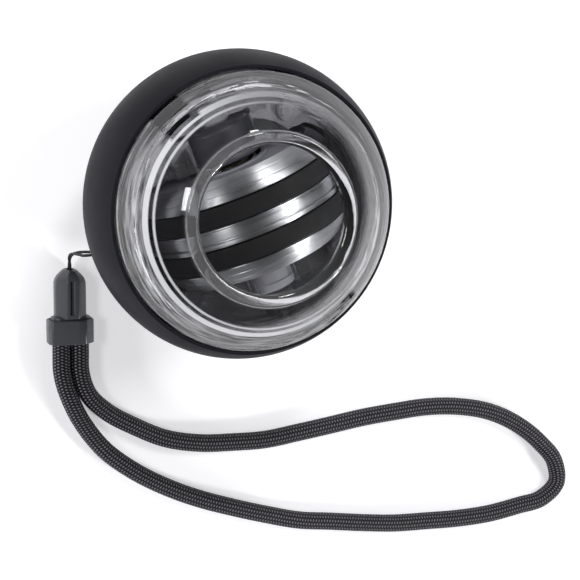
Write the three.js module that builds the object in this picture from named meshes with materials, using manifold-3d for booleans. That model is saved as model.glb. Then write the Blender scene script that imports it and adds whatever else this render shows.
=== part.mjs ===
// A self-starting gyroscopic wrist ball with its wrist strap, in millimetres, +Z up.
// The ball stands on its flat base at z = 0 with its axis on Z. Its strap lies beside it.
// Levels are measured from the ball's widest circle. Heights are measured from the floor.
// The ring, and all that it carries, is drawn with the axle along X and z = 0 on the axle line.

import * as THREE from 'three';
import { mergeVertices } from 'three/addons/utils/BufferGeometryUtils.js';
import Module from 'manifold-3d';

const wasm = await Module();
wasm.setup();

// Clearances
const seat = 0.3; // between pieces that are fixed to each other
const running = 0.3; // between pieces that turn past each other
const overrun = 1; // how far a cut goes past the face that it opens
const sameCorner = 1e-4; // corners that are closer than this are one

// Facets
const ballSides = 48;
const rotorSides = 36;
const smallSides = 16;
const tinySides = 12;
const wallSteps = 5;
const shoulderWallSteps = 2;
const domeSteps = 5;

// Ball: a sphere below its widest circle, a slightly flattened half above it
const ballRadius = 31.2;
const poleShare = 0.9167; // the upper half's height, of the ball's radius
const flatDepth = 1.8; // how much of the sphere is missing under the base pad
const riseShare = 0.096154; // the ring plane's level, of the ball's radius

// Shell
const shellShare = 0.1058; // the wall's thickness, of the ball's radius
const rimWidth = 1;
const rimRise = 0.65;
const rimLand = 0.35;
const floorThick = 2.2;
const ribCount = 12;
const ribThick = 1.4;
const ribShare = 0.466; // a rib's height, of the bore's radius
const ribRoot = 0.8; // how far a rib is rooted in the wall
const lugTurn = THREE.MathUtils.degToRad(19.7);
const lugWidth = 5.4;
const lugDrop = 0.45; // from the rim down to a lug's top
const lugReach = 2.6;
const lugNose = 1.4;

// Base pad
const padRim = 2.1; // flat ring of the shell left round the pad
const padThick = 1.5;
const padProud = 0.4;
const padEdge = 0.3;

// Race and its lower track
const ringHalf = 1.4;
const raceDepth = 2;
const trackThick = 2;
const trackLip = 0.6;
const ringEdgeGap = 0.4;

// Dome
const skirtShare = 0.0962; // the skirt's thickness, of the ball's radius
const domeInset = 0.25;
const domeWall = 2.3;
const creaseStep = 1.5;
const creaseDrop = 3.4;
const openingShare = 0.4647; // the round opening, of the ball's radius
const lipWidth = 2.6;
const lipTall = 0.85;
const lipDeep = 1.1; // straight bore under the lip's rounding
const lipShares = [[0, 0], [0.06, 0.6], [0.25, 0.94], [0.62, 1], [0.88, 0.76], [1, 0.18]];
const lipUnderShare = 0.25; // where the dome's underside meets the lip, of the lip's width

// Cord and string
const cordRadius = 1.95;
const cordSides = 8;
const cordSteps = 70;
const strandSpace = 0.15; // from a strand's side to the strap's middle
const stringRadius = 0.3;
const stringSides = 8;
const stringSteps = 40;
const stringOffset = 0.75;
const bendSteps = 4;

// Lanyard pocket in the shell's front and its pin
const pocketShare = 0.3846; // how far the pocket is below the widest circle, of the ball's radius
const pocketWide = 6;
const pocketClear = 0.4;
const pocketWall = 2.2;
const bossWideShare = 1.5; // of the pocket's wall, beside the pocket
const bossTallShare = 0.7; // of the pocket's wall, above and below it
const bossInset = 1.2; // how far the boss stays inside the ball's own surface
const pinRadius = 1.1;
const pinSeat = 1.6;
const pinInset = 2.4;
const pinGap = 0.3;

// Axle and its bushes
const axleShare = 0.0385; // its radius, of the ball's
const axleTipGap = 0.3;
const axleTipChamfer = 0.3;
const bushWall = 0.9;
const bushShare = 0.1429; // a bush's length, of the ring's radius
const bushFlange = 0.6;

// Carrier ring
const cageWall = 1.6;
const cageGap = 0.7; // between the cage wall and the dome's skirt
const cageTall = 4;
const windowRim = 1.2;
const windowGap = 0.6;
const windowCornerShare = 0.72; // its cut corners, of the shoulder's width beside them
const podWall = 0.6;
const podGap = 0.4;
const podEnd = 0.8;
const bushInset = 0.6;
const cheekTallShare = 0.692; // these two are of the drum's radius
const cheekWideShare = 0.603;
const cheekUnder = 1; // how far a cheek starts inside the drum's own width
const cheekInset = 0.3;
const screwInset = 1.65;
const bossTall = 3.4;

// Screws of the carrier ring
const shankRadius = 0.8;
const headRadius = 1.6;
const headTall = 1;
const headSink = 1.1;
const headWall = 0.3;
const screwCover = 1.1; // plastic left over a screw's tip

// Rotor
const rotorShare = 0.3571; // half the rotor's width, of the ring's radius
const rimProud = 0.85; // how far the rim stands past the discs
const faceShare = 0.8374; // the round face's radius, of the rotor's
const stripShare = 0.2; // these two are of half the rotor's width
const bandShare = 0.4;
const shoulderDrop = 0.2;
const shoulderLand = 0.2;
const shoulderSteps = 3;
const shoulderFrom = THREE.MathUtils.degToRad(20); // the stretch of an oval that a shoulder follows
const shoulderTo = THREE.MathUtils.degToRad(60);
const bandProud = 0.2;
const bandSeat = 0.3;
const bandDepth = 1.3;
const grooveShare = 0.4; // the witness groove's place, of half the middle strip
const grooveWide = 0.6;
const grooveFloorShare = 0.33; // of the groove's width
const grooveDeep = 0.5;
const hubWall = 2.5;
const webShare = 0.42; // half the web's thickness, of half the rotor's width
const rimWall = 3.2;
const faceLip = 0.3;
const discThick = 1.2;

// Self-start clutch
const wheelTeeth = 12;
const wheelShare = 0.2463; // the toothed wheel's radius, of the rotor's
const toothDeep = 0.8;
const armCount = 3;
const armThick = 0.55;
const armSweep = THREE.MathUtils.degToRad(62);
const armSteps = 6;
const armRoot = 0.4;
const clutchShare = 1.48; // the disc's hole, of the toothed wheel
const neckShare = 0.327; // the hub's neck, of the drum's radius
const hookWide = 0.8;
const hookDeep = 0.6;
const hookRoom = 0.5;

// Spring barrel and mainspring
const barrelShare = 0.3842; // the drum's radius, of the rotor's
const barrelLongShare = 0.2707; // the drum's length, of the ring's radius
const barrelGap = 0.9;
const barrelWall = 0.85;
const barrelEndShare = 0.1944; // these two are of the drum's length
const coverShare = 0.125;
const barrelEdge = 0.4;
const coverStep = 0.35;
const springTurns = 4.5;
const springSteps = 16;
const springThick = 0.25;
const springGap = 0.35;

// Plain bearing block at the other axle end
const blockShare = 0.2562; // its radius, of the rotor's
const blockEdge = 0.5;

// Connector of the strap, drawn along X from its string end, on the floor
const connectorPlace = new THREE.Vector2(4.3, -33.3);
const connectorTurn = THREE.MathUtils.degToRad(-21.4);
const connectorLong = 10.3;
const connectorWide = 6.6;
const connectorLift = 0.2; // from the floor up to its body
const connectorEdge = 1.4;
const noseLong = 2.6;
const noseShares = [[0, 0.4], [0.45, 0.75], [1, 1]];
const slotDeep = 2;
const slotRoom = 0.4;
const seamOffset = 0.8;
const seamWide = 0.7;
const seamDeep = 0.4;
const footLong = 1.2;
const footRim = 0.15;
const footRoot = 0.3;

// Slider of the strap
const sliderLong = 5.2;
const sliderWall = 0.4;
const sliderCrown = 0.65;
const sliderEdge = 1.5;
const strandGap = 0.3;
const sliderTravel = 6;

// The cord's route on the floor, from the end of one straight strand round to the other
const cordRoute = [
  [30.9, -39.8, 2.8], [36.3, -37.6, 2.2], [42.1, -33.2, 2], [47.7, -27.8, 2], [51.9, -21.3, 2],
  [54.9, -14.5, 2], [57.6, -7.4, 2], [59.4, 0.2, 2], [61.1, 7.9, 2], [62.6, 14.9, 2],
  [64.6, 22.3, 2], [66.8, 29.6, 2], [70, 36.7, 2], [74.5, 43.4, 2], [80.7, 49, 2],
  [86.8, 52.4, 2], [92.5, 54.2, 2], [97.6, 52.9, 2], [99.5, 48.2, 2], [98.6, 42.4, 2],
  [97.2, 35.2, 2], [94.8, 27.6, 2], [91.9, 20.3, 2], [89, 13.2, 2], [85.5, 6.3, 2],
  [81.8, -0.5, 2], [78.3, -7, 2], [73.6, -13.6, 2], [68.8, -19.8, 2], [63.6, -26, 2],
  [57.8, -31.8, 2], [51, -37.2, 2], [43.9, -41.2, 2], [38.2, -42.9, 2.2], [32.2, -43.7, 2.8],
];

// The string's route from the connector to the lanyard pocket, and back above it
const stringOut = [
  [3.2, -32.87, 2.6], [1.9, -32.3, 3.7], [1, -31.8, 5.9], [0.4, -31.2, 8.8], [0.1, -30.4, 12],
  [0, -28.9, 15.4],
];
const stringBack = [
  [0, -28.9, 19], [-0.2, -31, 17.2], [-0.2, -31.7, 14], [0, -32.2, 10.4], [0.6, -32.6, 7.3],
  [1.7, -32.8, 5.1], [3.2, -33, 4.1],
];

// Height of an oval's curve above its widest circle, at a radius, and the radius at a level
const ovalLevel = (across, tall, radius) => tall * Math.sqrt(1 - (radius / across) ** 2);
const ovalRadius = (across, tall, level) => across * Math.sqrt(1 - (level / tall) ** 2);

// Sizes of the housing that follow from those above
const upperPole = ballRadius * poleShare;
const baseDepth = ballRadius - flatDepth;
const padRadius = ovalRadius(ballRadius, ballRadius, baseDepth - padProud) - padRim;
const boreRadius = ballRadius * (1 - shellShare);
const rimOuter = boreRadius + rimWidth;
const rimLevel = ovalLevel(ballRadius, upperPole, rimOuter);
const rimTop = rimLevel + rimRise;
const ringRise = ballRadius * riseShare;
const ringHeight = baseDepth + ringRise;
const raceHalf = ringHalf + running;
const trackRadius = boreRadius - seat;
const raceRadius = trackRadius - trackLip;
const raceInner = raceRadius - raceDepth;
const trackTop = ringRise - raceHalf;
const ribTop = trackTop - trackThick - seat;
const ribTall = boreRadius * ribShare;
const skirtBottom = ringRise + raceHalf;
const skirtRadius = boreRadius - seat;
const skirtInner = skirtRadius - ballRadius * skirtShare;
const creaseRadius = skirtInner - creaseStep;
const openingRadius = ballRadius * openingShare;
const lugLow = skirtBottom + trackThick;
const lugTop = rimTop - lugDrop;
const pocketLevel = -ballRadius * pocketShare;
const pocketTall = 2 * (pinRadius + pinGap + 2 * stringRadius + pocketClear);
const pinReach = ovalRadius(ballRadius, ballRadius, pocketLevel) - pinInset;
const pinLength = pocketWide + 2 * pinSeat;
const pocketFloor = pinReach - pinRadius - pinGap - 2 * stringRadius - seat;

// Sizes of the ring and of what it carries
const ringRadius = raceRadius - ringEdgeGap;
const cageOuter = skirtInner - cageGap;
const cageInner = cageOuter - cageWall;
const windowHalfLong = cageInner - windowRim;
const bandRadius = windowHalfLong - windowGap;
const rotorRadius = bandRadius - bandProud;
const rotorHalf = ringRadius * rotorShare;
const rimHalf = rotorHalf + rimProud;
const windowHalfWide = rimHalf + windowGap;
const faceRadius = rotorRadius * faceShare;
const shoulderRadius = rotorRadius - shoulderDrop;
const stripHalf = rotorHalf * stripShare;
const bandWide = rotorHalf * bandShare;
const grooveEnd = stripHalf + bandWide + 2 * bandSeat;
const shoulderStart = grooveEnd + shoulderLand;
const windowCorner = (windowHalfWide - shoulderStart) * windowCornerShare;
const grooveOffset = stripHalf * grooveShare;
const discRadius = faceRadius - faceLip - seat;
const discStart = rotorHalf - discThick;
const faceFloor = discStart - seat;
const webHalf = rotorHalf * webShare;
const axleRadius = ballRadius * axleShare;
const axleHole = axleRadius + running;
const hubRadius = axleHole + hubWall;
const wheelRadius = rotorRadius * wheelShare;
const clutchHole = wheelRadius * clutchShare;
const barrelRadius = rotorRadius * barrelShare;
const blockRadius = rotorRadius * blockShare;
const barrelStart = rotorHalf + barrelGap;
const barrelLength = ringRadius * barrelLongShare;
const barrelStop = barrelStart + barrelLength;
const coverStart = barrelStart + coverStep;
const coverStop = coverStart + barrelLength * coverShare;
const barrelBore = barrelRadius - barrelWall;
const cavityStart = coverStop + seat;
const cavityStop = barrelStop - barrelLength * barrelEndShare;
const neckRadius = barrelRadius * neckShare;
const neckStop = cavityStop - running;
const bushRadius = axleHole + bushWall;
const podStart = barrelStop + podGap;
const bushStart = podStart + bushInset;
const bushStop = bushStart + ringRadius * bushShare;
const podStop = bushStop + podEnd;
const podRadius = bushRadius + bushFlange + seat + podWall;
const cheekTall = barrelRadius * cheekTallShare;
const cheekWide = barrelRadius * cheekWideShare;
const screwPlace = (cageInner - screwInset) * Math.SQRT1_2;
const screwBoss = headRadius + seat + headWall;
const screwReach = 2 * bossTall - headSink - screwCover;

// Sizes of the strap
const strandOffset = cordRadius + strandSpace;
const footWide = 2 * (strandOffset + cordRadius + footRim);
const footTall = 2 * (cordRadius + footRim);
const counterWide = footWide + 2 * strandGap;
const counterTall = footTall + 2 * strandGap;
const sliderWide = counterWide + 2 * sliderWall;
const sliderTall = counterTall + 2 * sliderCrown;
const strapHeight = sliderTall / 2;
const connectorTall = 2 * (strapHeight - connectorLift);
const sliderStart = connectorLong + strandGap;
const strandStart = connectorLong + footLong + strandGap;
const straightEnd = sliderStart + sliderLong + sliderTravel + strandGap;
const slotWide = 2 * (stringRadius + slotRoom);
const slotTall = 2 * (stringOffset + stringRadius + slotRoom);
const stringEnd = slotDeep - seat;

// Points of an oval arc between two angles in a half section
function ovalArc(across, tall, from, to, steps) {
  const points = [];
  for (let i = 0; i <= steps; i++) {
    const angle = from + ((to - from) * i) / steps;
    points.push([across * Math.cos(angle), tall * Math.sin(angle)]);
  }
  return points;
}

// A closed geometry as a solid, with doubled corners joined and slivers dropped
function solid(geometry) {
  const bare = geometry.clone();
  bare.deleteAttribute('normal');
  bare.deleteAttribute('uv');
  const merged = mergeVertices(bare, sameCorner);
  const index = merged.index.array;
  const place = merged.attributes.position;
  const corners = [];
  let sixVolumes = 0;
  const [a, b, c] = [new THREE.Vector3(), new THREE.Vector3(), new THREE.Vector3()];
  for (let i = 0; i < index.length; i += 3) {
    const [p, q, r] = [index[i], index[i + 1], index[i + 2]];
    if (p === q || q === r || r === p) continue;
    corners.push([p, q, r]);
    a.fromBufferAttribute(place, p);
    b.fromBufferAttribute(place, q);
    c.fromBufferAttribute(place, r);
    sixVolumes += a.dot(b.cross(c));
  }
  const outward = corners.map(([p, q, r]) => (sixVolumes > 0 ? [p, q, r] : [p, r, q]));
  return new wasm.Manifold(new wasm.Mesh({
    numProp: 3,
    vertProperties: new Float32Array(place.array),
    triVerts: new Uint32Array(outward.flat()),
  }));
}

// A half section of [radius, level] points turned about Z
function turned(points, sides) {
  const closed = points[0][0] === 0 && points[points.length - 1][0] === 0;
  const ring = closed ? points : [...points, points[0]];
  const lathe = new THREE.LatheGeometry(ring.map(([r, level]) => new THREE.Vector2(r, level)), sides);
  return lathe.rotateX(Math.PI / 2);
}

// A half section of [place, radius] points turned about X
function turnedOnAxle(points, sides) {
  return turned(points.map(([place, radius]) => [radius, place]), sides).rotateY(Math.PI / 2);
}

const rod = (start, stop, radius, sides) =>
  turnedOnAxle([[start, 0], [start, radius], [stop, radius], [stop, 0]], sides);

// A box between two corners
function block(low, high) {
  const [x, y, z] = high.map((value, i) => value - low[i]);
  return new THREE.BoxGeometry(x, y, z).translate(low[0] + x / 2, low[1] + y / 2, low[2] + z / 2);
}

// A flat outline of [x, y] points pushed up along Z from a start height
function raised(points, start, stop) {
  const shape = new THREE.Shape(points.map(([x, y]) => new THREE.Vector2(x, y)));
  const geometry = new THREE.ExtrudeGeometry(shape, { depth: stop - start, bevelEnabled: false });
  return geometry.translate(0, 0, start);
}

// The same outline stood up to run along X, with its first axis along Y and its second along Z
const raisedAlongX = (points, start, stop) =>
  raised(points, start, stop).rotateZ(Math.PI / 2).rotateY(Math.PI / 2);

// A rectangle with its four corners cut off
function cutRectangle(wide, tall, edge) {
  const [x, y] = [wide / 2, tall / 2];
  return [
    [x, y - edge], [x - edge, y], [edge - x, y], [-x, y - edge],
    [-x, edge - y], [edge - x, -y], [x - edge, -y], [x, edge - y],
  ];
}

// A slot outline with round ends
function roundSlot(wide, tall) {
  const radius = tall / 2;
  const centre = wide / 2 - radius;
  const points = [];
  for (let i = 0; i <= tinySides; i++) {
    const angle = (Math.PI * i) / tinySides - Math.PI / 2;
    points.push([centre + radius * Math.cos(angle), radius * Math.sin(angle)]);
  }
  return [...points, ...points.map(([x, y]) => [-x, -y])];
}

// A round tube along a list of places
function tube(route, radius, sides, steps) {
  const path = new THREE.CatmullRomCurve3(route.map((p) => new THREE.Vector3(...p)));
  const corners = [];
  for (let i = 0; i < sides; i++) {
    const angle = (2 * Math.PI * (i + 0.5)) / sides;
    corners.push(new THREE.Vector2(radius * Math.cos(angle), radius * Math.sin(angle)));
  }
  return new THREE.ExtrudeGeometry(new THREE.Shape(corners), { extrudePath: path, steps });
}

const finishes = {
  softBlack: { color: '#26262a', roughness: 0.55, metalness: 0 },
  clear: { color: '#dfe2e8', roughness: 0.05, metalness: 0, transparent: true, opacity: 0.35 },
  dark: { color: '#1c1c20', roughness: 0.4, metalness: 0 },
  grey: { color: '#77777c', roughness: 0.45, metalness: 0 },
  steel: { color: '#b9babd', roughness: 0.25, metalness: 1 },
  turnedMetal: { color: '#c9cacc', roughness: 0.22, metalness: 1 },
  brass: { color: '#b39a5c', roughness: 0.3, metalness: 1 },
  rubber: { color: '#141417', roughness: 0.8, metalness: 0 },
  cord: { color: '#1e1c20', roughness: 0.85, metalness: 0 },
};

// A named mesh of a solid
function piece(name, body, finish) {
  const { vertProperties, triVerts } = body.getMesh();
  const geometry = new THREE.BufferGeometry();
  geometry.setAttribute('position', new THREE.BufferAttribute(vertProperties, 3));
  geometry.setIndex(new THREE.BufferAttribute(triVerts, 1));
  geometry.computeVertexNormals();
  const mesh = new THREE.Mesh(geometry, new THREE.MeshStandardMaterial(finishes[finish]));
  mesh.name = name;
  return mesh;
}

// The black shell: a bowl with a rolled rim, track ribs, two snap lugs and the lanyard pocket
function lowerShell() {
  const bottom = padProud - baseDepth;
  const recessTop = padThick + seat - baseDepth;
  const bowlDepth = recessTop + floorThick;
  const recess = padRadius + seat;
  const outline = [
    [0, recessTop], [recess, recessTop], [recess, bottom],
    ...ovalArc(ballRadius, ballRadius, Math.asin(bottom / ballRadius), 0, wallSteps),
    ...ovalArc(ballRadius, upperPole, 0, Math.asin(rimLevel / upperPole), shoulderWallSteps).slice(1),
    [rimOuter - rimLand, rimTop], [boreRadius + rimLand / 2, rimTop], [boreRadius, rimTop - rimLand / 2],
    ...ovalArc(boreRadius, -bowlDepth, 0, -Math.PI / 2, wallSteps).slice(0, -1), [0, bowlDepth],
  ];
  let body = solid(turned(outline, ballSides));
  const wallAt = boreRadius + ribRoot;
  const inWall = (level) => [ovalRadius(boreRadius, -bowlDepth, level) + ribRoot, level];
  const ribOutline = [
    [raceInner, ribTop], [wallAt, ribTop], inWall(ribTop - ribTall / 2), inWall(ribTop - ribTall),
  ];
  for (let i = 0; i < ribCount; i++) {
    const web = raised(ribOutline, -ribThick / 2, ribThick / 2).rotateX(Math.PI / 2);
    body = body.add(solid(web.rotateZ((2 * Math.PI * (i + 0.5)) / ribCount)));
  }
  const lugOutline = [
    [boreRadius + ribRoot / 2, lugLow], [boreRadius - lugReach, lugLow],
    [boreRadius - lugReach, lugLow + lugNose], [boreRadius, lugTop],
    [boreRadius + ribRoot / 2, lugTop],
  ];
  for (const turn of [lugTurn, lugTurn + Math.PI]) {
    const lug = raised(lugOutline, -lugWidth / 2, lugWidth / 2).rotateX(Math.PI / 2);
    body = body.add(solid(lug.rotateZ(turn)));
  }
  const halfTall = pocketTall / 2;
  const halfWide = pocketWide / 2;
  const bossWide = halfWide + pocketWall * bossWideShare;
  const bossUp = halfTall + pocketWall * bossTallShare;
  const boss = solid(block(
    [-bossWide, -ballRadius, pocketLevel - bossUp],
    [bossWide, pocketWall - pocketFloor, pocketLevel + bossUp],
  ));
  const inside = ballRadius - bossInset;
  const fill = solid(turned(ovalArc(inside, inside, -Math.PI / 2, Math.PI / 2, smallSides), ballSides));
  body = body.add(boss.intersect(fill));
  const mouth = solid(block(
    [-halfWide, -ballRadius - overrun, pocketLevel - halfTall],
    [halfWide, -pocketFloor, pocketLevel + halfTall],
  ));
  const pinHole = pinLength / 2 + pinGap;
  const bore = solid(rod(-pinHole, pinHole, pinRadius + pinGap, tinySides)
    .translate(0, -pinReach, pocketLevel));
  return body.subtract(mouth).subtract(bore);
}

// The flat disc that the ball stands on
function basePad() {
  const bottom = -baseDepth;
  const top = bottom + padThick;
  const outline = [
    [0, bottom], [padRadius - padEdge, bottom], [padRadius, bottom + padEdge],
    [padRadius, top - padEdge], [padRadius - padEdge, top], [0, top],
  ];
  return solid(turned(outline, ballSides));
}

// The L section ring that makes the race's floor and its outer wall
function raceTrack() {
  const bottom = trackTop - trackThick;
  const lipTop = skirtBottom - seat;
  const outline = [
    [raceInner, bottom], [trackRadius, bottom], [trackRadius, lipTop],
    [raceRadius, lipTop], [raceRadius, trackTop], [raceInner, trackTop],
  ];
  return solid(turned(outline, ballSides));
}

// The clear dome: a skirt that ends in the race's upper wall, a shell and a rolled lip
function upperDome() {
  const [across, tall] = [ballRadius - domeInset, upperPole - domeInset];
  const [acrossIn, tallIn] = [across - domeWall, tall - domeWall];
  const lipOuter = openingRadius + lipWidth;
  const foot = ovalLevel(across, tall, lipOuter);
  const creaseLevel = ovalLevel(acrossIn, tallIn, creaseRadius);
  const underLip = openingRadius + lipWidth * lipUnderShare;
  const outline = [
    [skirtInner, skirtBottom], [skirtRadius, skirtBottom],
    ...ovalArc(across, tall, Math.acos(skirtRadius / across), Math.acos(lipOuter / across), domeSteps)
      .slice(0, -1),
    ...lipShares.map(([inward, up]) => [lipOuter - inward * lipWidth, foot + up * lipTall]),
    [openingRadius, foot - lipDeep],
    ...ovalArc(acrossIn, tallIn, Math.acos(underLip / acrossIn),
      Math.acos(creaseRadius / acrossIn), domeSteps),
    [skirtInner, creaseLevel - creaseDrop],
  ];
  let body = solid(turned(outline, ballSides));
  const [low, high] = [lugLow - seat, lugTop + seat];
  const half = lugWidth / 2 + seat;
  for (const turn of [lugTurn, lugTurn + Math.PI]) {
    const slot = block([skirtInner - overrun, -half, low], [skirtRadius + overrun, half, high]);
    body = body.subtract(solid(slot.rotateZ(turn)));
  }
  return body;
}

// The steel pin that the string goes round
const lanyardPin = () =>
  solid(rod(-pinLength / 2, pinLength / 2, pinRadius, tinySides).translate(0, -pinReach, pocketLevel));

// One half of the clear carrier ring, above the axle line, with or without room for screw heads
function ringHalfBody(headsHere) {
  const split = seat / 2;
  const plate = [[0, split], [ringRadius, split], [ringRadius, ringHalf], [0, ringHalf]];
  const cage = [
    [cageInner, split], [cageOuter, split], [cageOuter, cageTall], [cageInner, cageTall],
  ];
  let body = solid(turned(plate, ballSides)).add(solid(turned(cage, ballSides)));
  const carried = [[1, barrelRadius], [-1, blockRadius]];
  for (const [side, radius] of carried) {
    const low = radius - cheekInset - cheekUnder;
    const tall = Math.min(cheekTall, radius - cheekInset);
    const [near, far] = [side * windowHalfWide, side * (barrelStop - cheekInset)].sort((p, q) => p - q);
    for (const y of [low, -low - cheekWide]) {
      body = body.add(solid(block([near, y, split], [far, y + cheekWide, tall])));
    }
    const [podNear, podFar] = [side * podStart, side * podStop].sort((p, q) => p - q);
    const pod = solid(rod(podNear, podFar, podRadius, smallSides));
    const above = solid(block([podNear, -podRadius, split], [podFar, podRadius, podRadius]));
    body = body.add(pod.intersect(above));
  }
  for (const x of [screwPlace, -screwPlace]) {
    for (const y of [screwPlace, -screwPlace]) {
      const outline = [[0, split], [screwBoss, split], [screwBoss, bossTall], [0, bossTall]];
      body = body.add(solid(turned(outline, smallSides).translate(x, y, 0)));
    }
  }
  const window = cutRectangle(2 * windowHalfWide, 2 * windowHalfLong, windowCorner);
  const cuts = [raised(window, -overrun, cageTall + overrun)];
  for (const [side, radius] of carried) {
    const [start, stop] = [side * (windowHalfWide - overrun), side * (barrelStop + seat)];
    const shelf = side * (bushStart + bushFlange + seat);
    const lowEnd = side * (bushStop + seat);
    const podOut = side * (podStop + overrun);
    const bushCut = bushRadius + seat;
    cuts.push(rod(Math.min(start, stop), Math.max(start, stop), radius + seat, rotorSides));
    cuts.push(rod(Math.min(stop, shelf), Math.max(stop, shelf), bushCut + bushFlange, smallSides));
    cuts.push(rod(Math.min(stop, lowEnd), Math.max(stop, lowEnd), bushCut, smallSides));
    cuts.push(rod(Math.min(stop, podOut), Math.max(stop, podOut), axleHole, smallSides));
    const [near, far] = [side * podStop, side * (ringRadius + overrun)];
    cuts.push(block(
      [Math.min(near, far), -axleHole, -overrun],
      [Math.max(near, far), axleHole, cageTall + overrun],
    ));
  }
  const holeTop = headsHere ? bossTall + overrun : screwReach - bossTall + headSink + seat;
  for (const x of [screwPlace, -screwPlace]) {
    for (const y of [screwPlace, -screwPlace]) {
      const hole = [[0, 0], [shankRadius + seat, 0], [shankRadius + seat, holeTop], [0, holeTop]];
      cuts.push(turned(hole, tinySides).translate(x, y, 0));
      if (headsHere) {
        const [low, high, wide] = [bossTall - headSink - seat, bossTall + overrun, headRadius + seat];
        cuts.push(turned([[0, low], [wide, low], [wide, high], [0, high]], tinySides).translate(x, y, 0));
      }
    }
  }
  for (const cut of cuts) body = body.subtract(solid(cut));
  return body;
}

// A screw standing head down, with its head sunk in the lower half's boss
function ringScrew(x, y) {
  const headLow = -bossTall + headSink - headTall;
  const headHigh = headLow + headTall;
  const top = headHigh + screwReach;
  const outline = [
    [0, headLow], [headRadius, headLow], [headRadius, headHigh], [shankRadius, headHigh],
    [shankRadius, top - shankRadius / 2], [shankRadius / 2, top], [0, top],
  ];
  return solid(turned(outline, tinySides).translate(x, y, 0));
}

// A flanged bush for the axle, flange towards the rotor
function axleBush() {
  const wide = bushRadius + bushFlange;
  const flangeEnd = bushStart + bushFlange;
  return solid(turnedOnAxle([
    [bushStart, axleHole], [bushStart, wide], [flangeEnd, wide], [flangeEnd, bushRadius],
    [bushStop, bushRadius], [bushStop, axleHole],
  ], smallSides));
}

// The dark drum that houses the mainspring, open towards the rotor
function springBarrel() {
  const mouth = barrelBore + coverStep;
  return solid(turnedOnAxle([
    [barrelStart, mouth], [barrelStart, barrelRadius - barrelEdge],
    [barrelStart + barrelEdge, barrelRadius], [barrelStop - barrelEdge, barrelRadius],
    [barrelStop, barrelRadius - barrelEdge], [barrelStop, axleHole], [cavityStop, axleHole],
    [cavityStop, barrelBore], [cavityStart, barrelBore], [cavityStart, mouth],
  ], rotorSides));
}

// The lid in the drum's mouth
function barrelCover() {
  const wide = barrelBore + coverStep - seat;
  const hole = neckRadius + running;
  return solid(turnedOnAxle([
    [coverStart, hole], [coverStart, wide], [coverStop, wide], [coverStop, hole],
  ], rotorSides));
}

// The flat spiral spring, one strip from the hub out to the drum's wall
function mainSpring() {
  const inner = neckRadius + springGap + springThick / 2;
  const outer = barrelBore - springGap - springThick / 2;
  const count = Math.round(springTurns * springSteps);
  const radiusAt = (i) => inner + ((outer - inner) * i) / count;
  const at = (i, radius) => {
    const angle = (2 * Math.PI * i) / springSteps;
    return [radius * Math.cos(angle), radius * Math.sin(angle)];
  };
  const [outside, inside] = [[], []];
  for (let i = 0; i <= count; i++) {
    outside.push(at(i, radiusAt(i) + springThick / 2));
    inside.unshift(at(i, radiusAt(i) - springThick / 2));
  }
  const gap = Math.min(...outside.slice(0, -springSteps).map(([x, y], i) => {
    const next = inside[count - i - springSteps];
    return Math.hypot(next[0] - x, next[1] - y);
  }));
  console.log(`mainspring: least gap between its turns ${gap.toFixed(2)} mm`);
  return solid(raisedAlongX([...outside, ...inside], cavityStart + seat, cavityStop - seat));
}

// The toothed hub that winds the spring, with its neck in the drum
function windingHub() {
  const outline = [];
  for (let i = 0; i < wheelTeeth; i++) {
    const start = (2 * Math.PI * i) / wheelTeeth;
    const stop = start + (2 * Math.PI) / wheelTeeth;
    const root = wheelRadius - toothDeep;
    outline.push([root * Math.cos(start), root * Math.sin(start)]);
    outline.push([wheelRadius * Math.cos(stop), wheelRadius * Math.sin(stop)]);
  }
  const wheel = solid(raisedAlongX(outline, discStart, rotorHalf));
  const neck = solid(rod(discStart, neckStop, neckRadius, smallSides));
  const bore = solid(rod(discStart - overrun, neckStop + overrun, axleHole, smallSides));
  const hook = solid(block(
    [cavityStart + hookRoom, -hookWide / 2, neckRadius - hookDeep],
    [neckStop + overrun, hookWide / 2, neckRadius + overrun],
  ));
  return wheel.add(neck).subtract(bore).subtract(hook);
}

// The grey disc on the self-start side, with sprung arms that reach in to the hub's teeth
function clutchDisc() {
  let body = solid(turnedOnAxle([
    [discStart, clutchHole], [discStart, discRadius], [rotorHalf, discRadius], [rotorHalf, clutchHole],
  ], rotorSides));
  const tip = wheelRadius + running + armThick / 2;
  const root = clutchHole + armRoot;
  const at = (angle, radius) => [radius * Math.cos(angle), radius * Math.sin(angle)];
  for (let n = 0; n < armCount; n++) {
    const [outside, inside] = [[], []];
    for (let i = 0; i <= armSteps; i++) {
      const share = i / armSteps;
      const radius = root + (tip - root) * Math.sqrt(share);
      const angle = (2 * Math.PI * n) / armCount + armSweep * share;
      outside.push(at(angle, radius + armThick / 2));
      inside.unshift(at(angle, radius - armThick / 2));
    }
    body = body.add(solid(raisedAlongX([...outside, ...inside], discStart, rotorHalf)));
  }
  return body;
}

// The plain grey disc on the other side
const endDisc = () => solid(turnedOnAxle([
  [-rotorHalf, axleHole], [-rotorHalf, discRadius], [-discStart, discRadius], [-discStart, axleHole],
], rotorSides));

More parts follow.
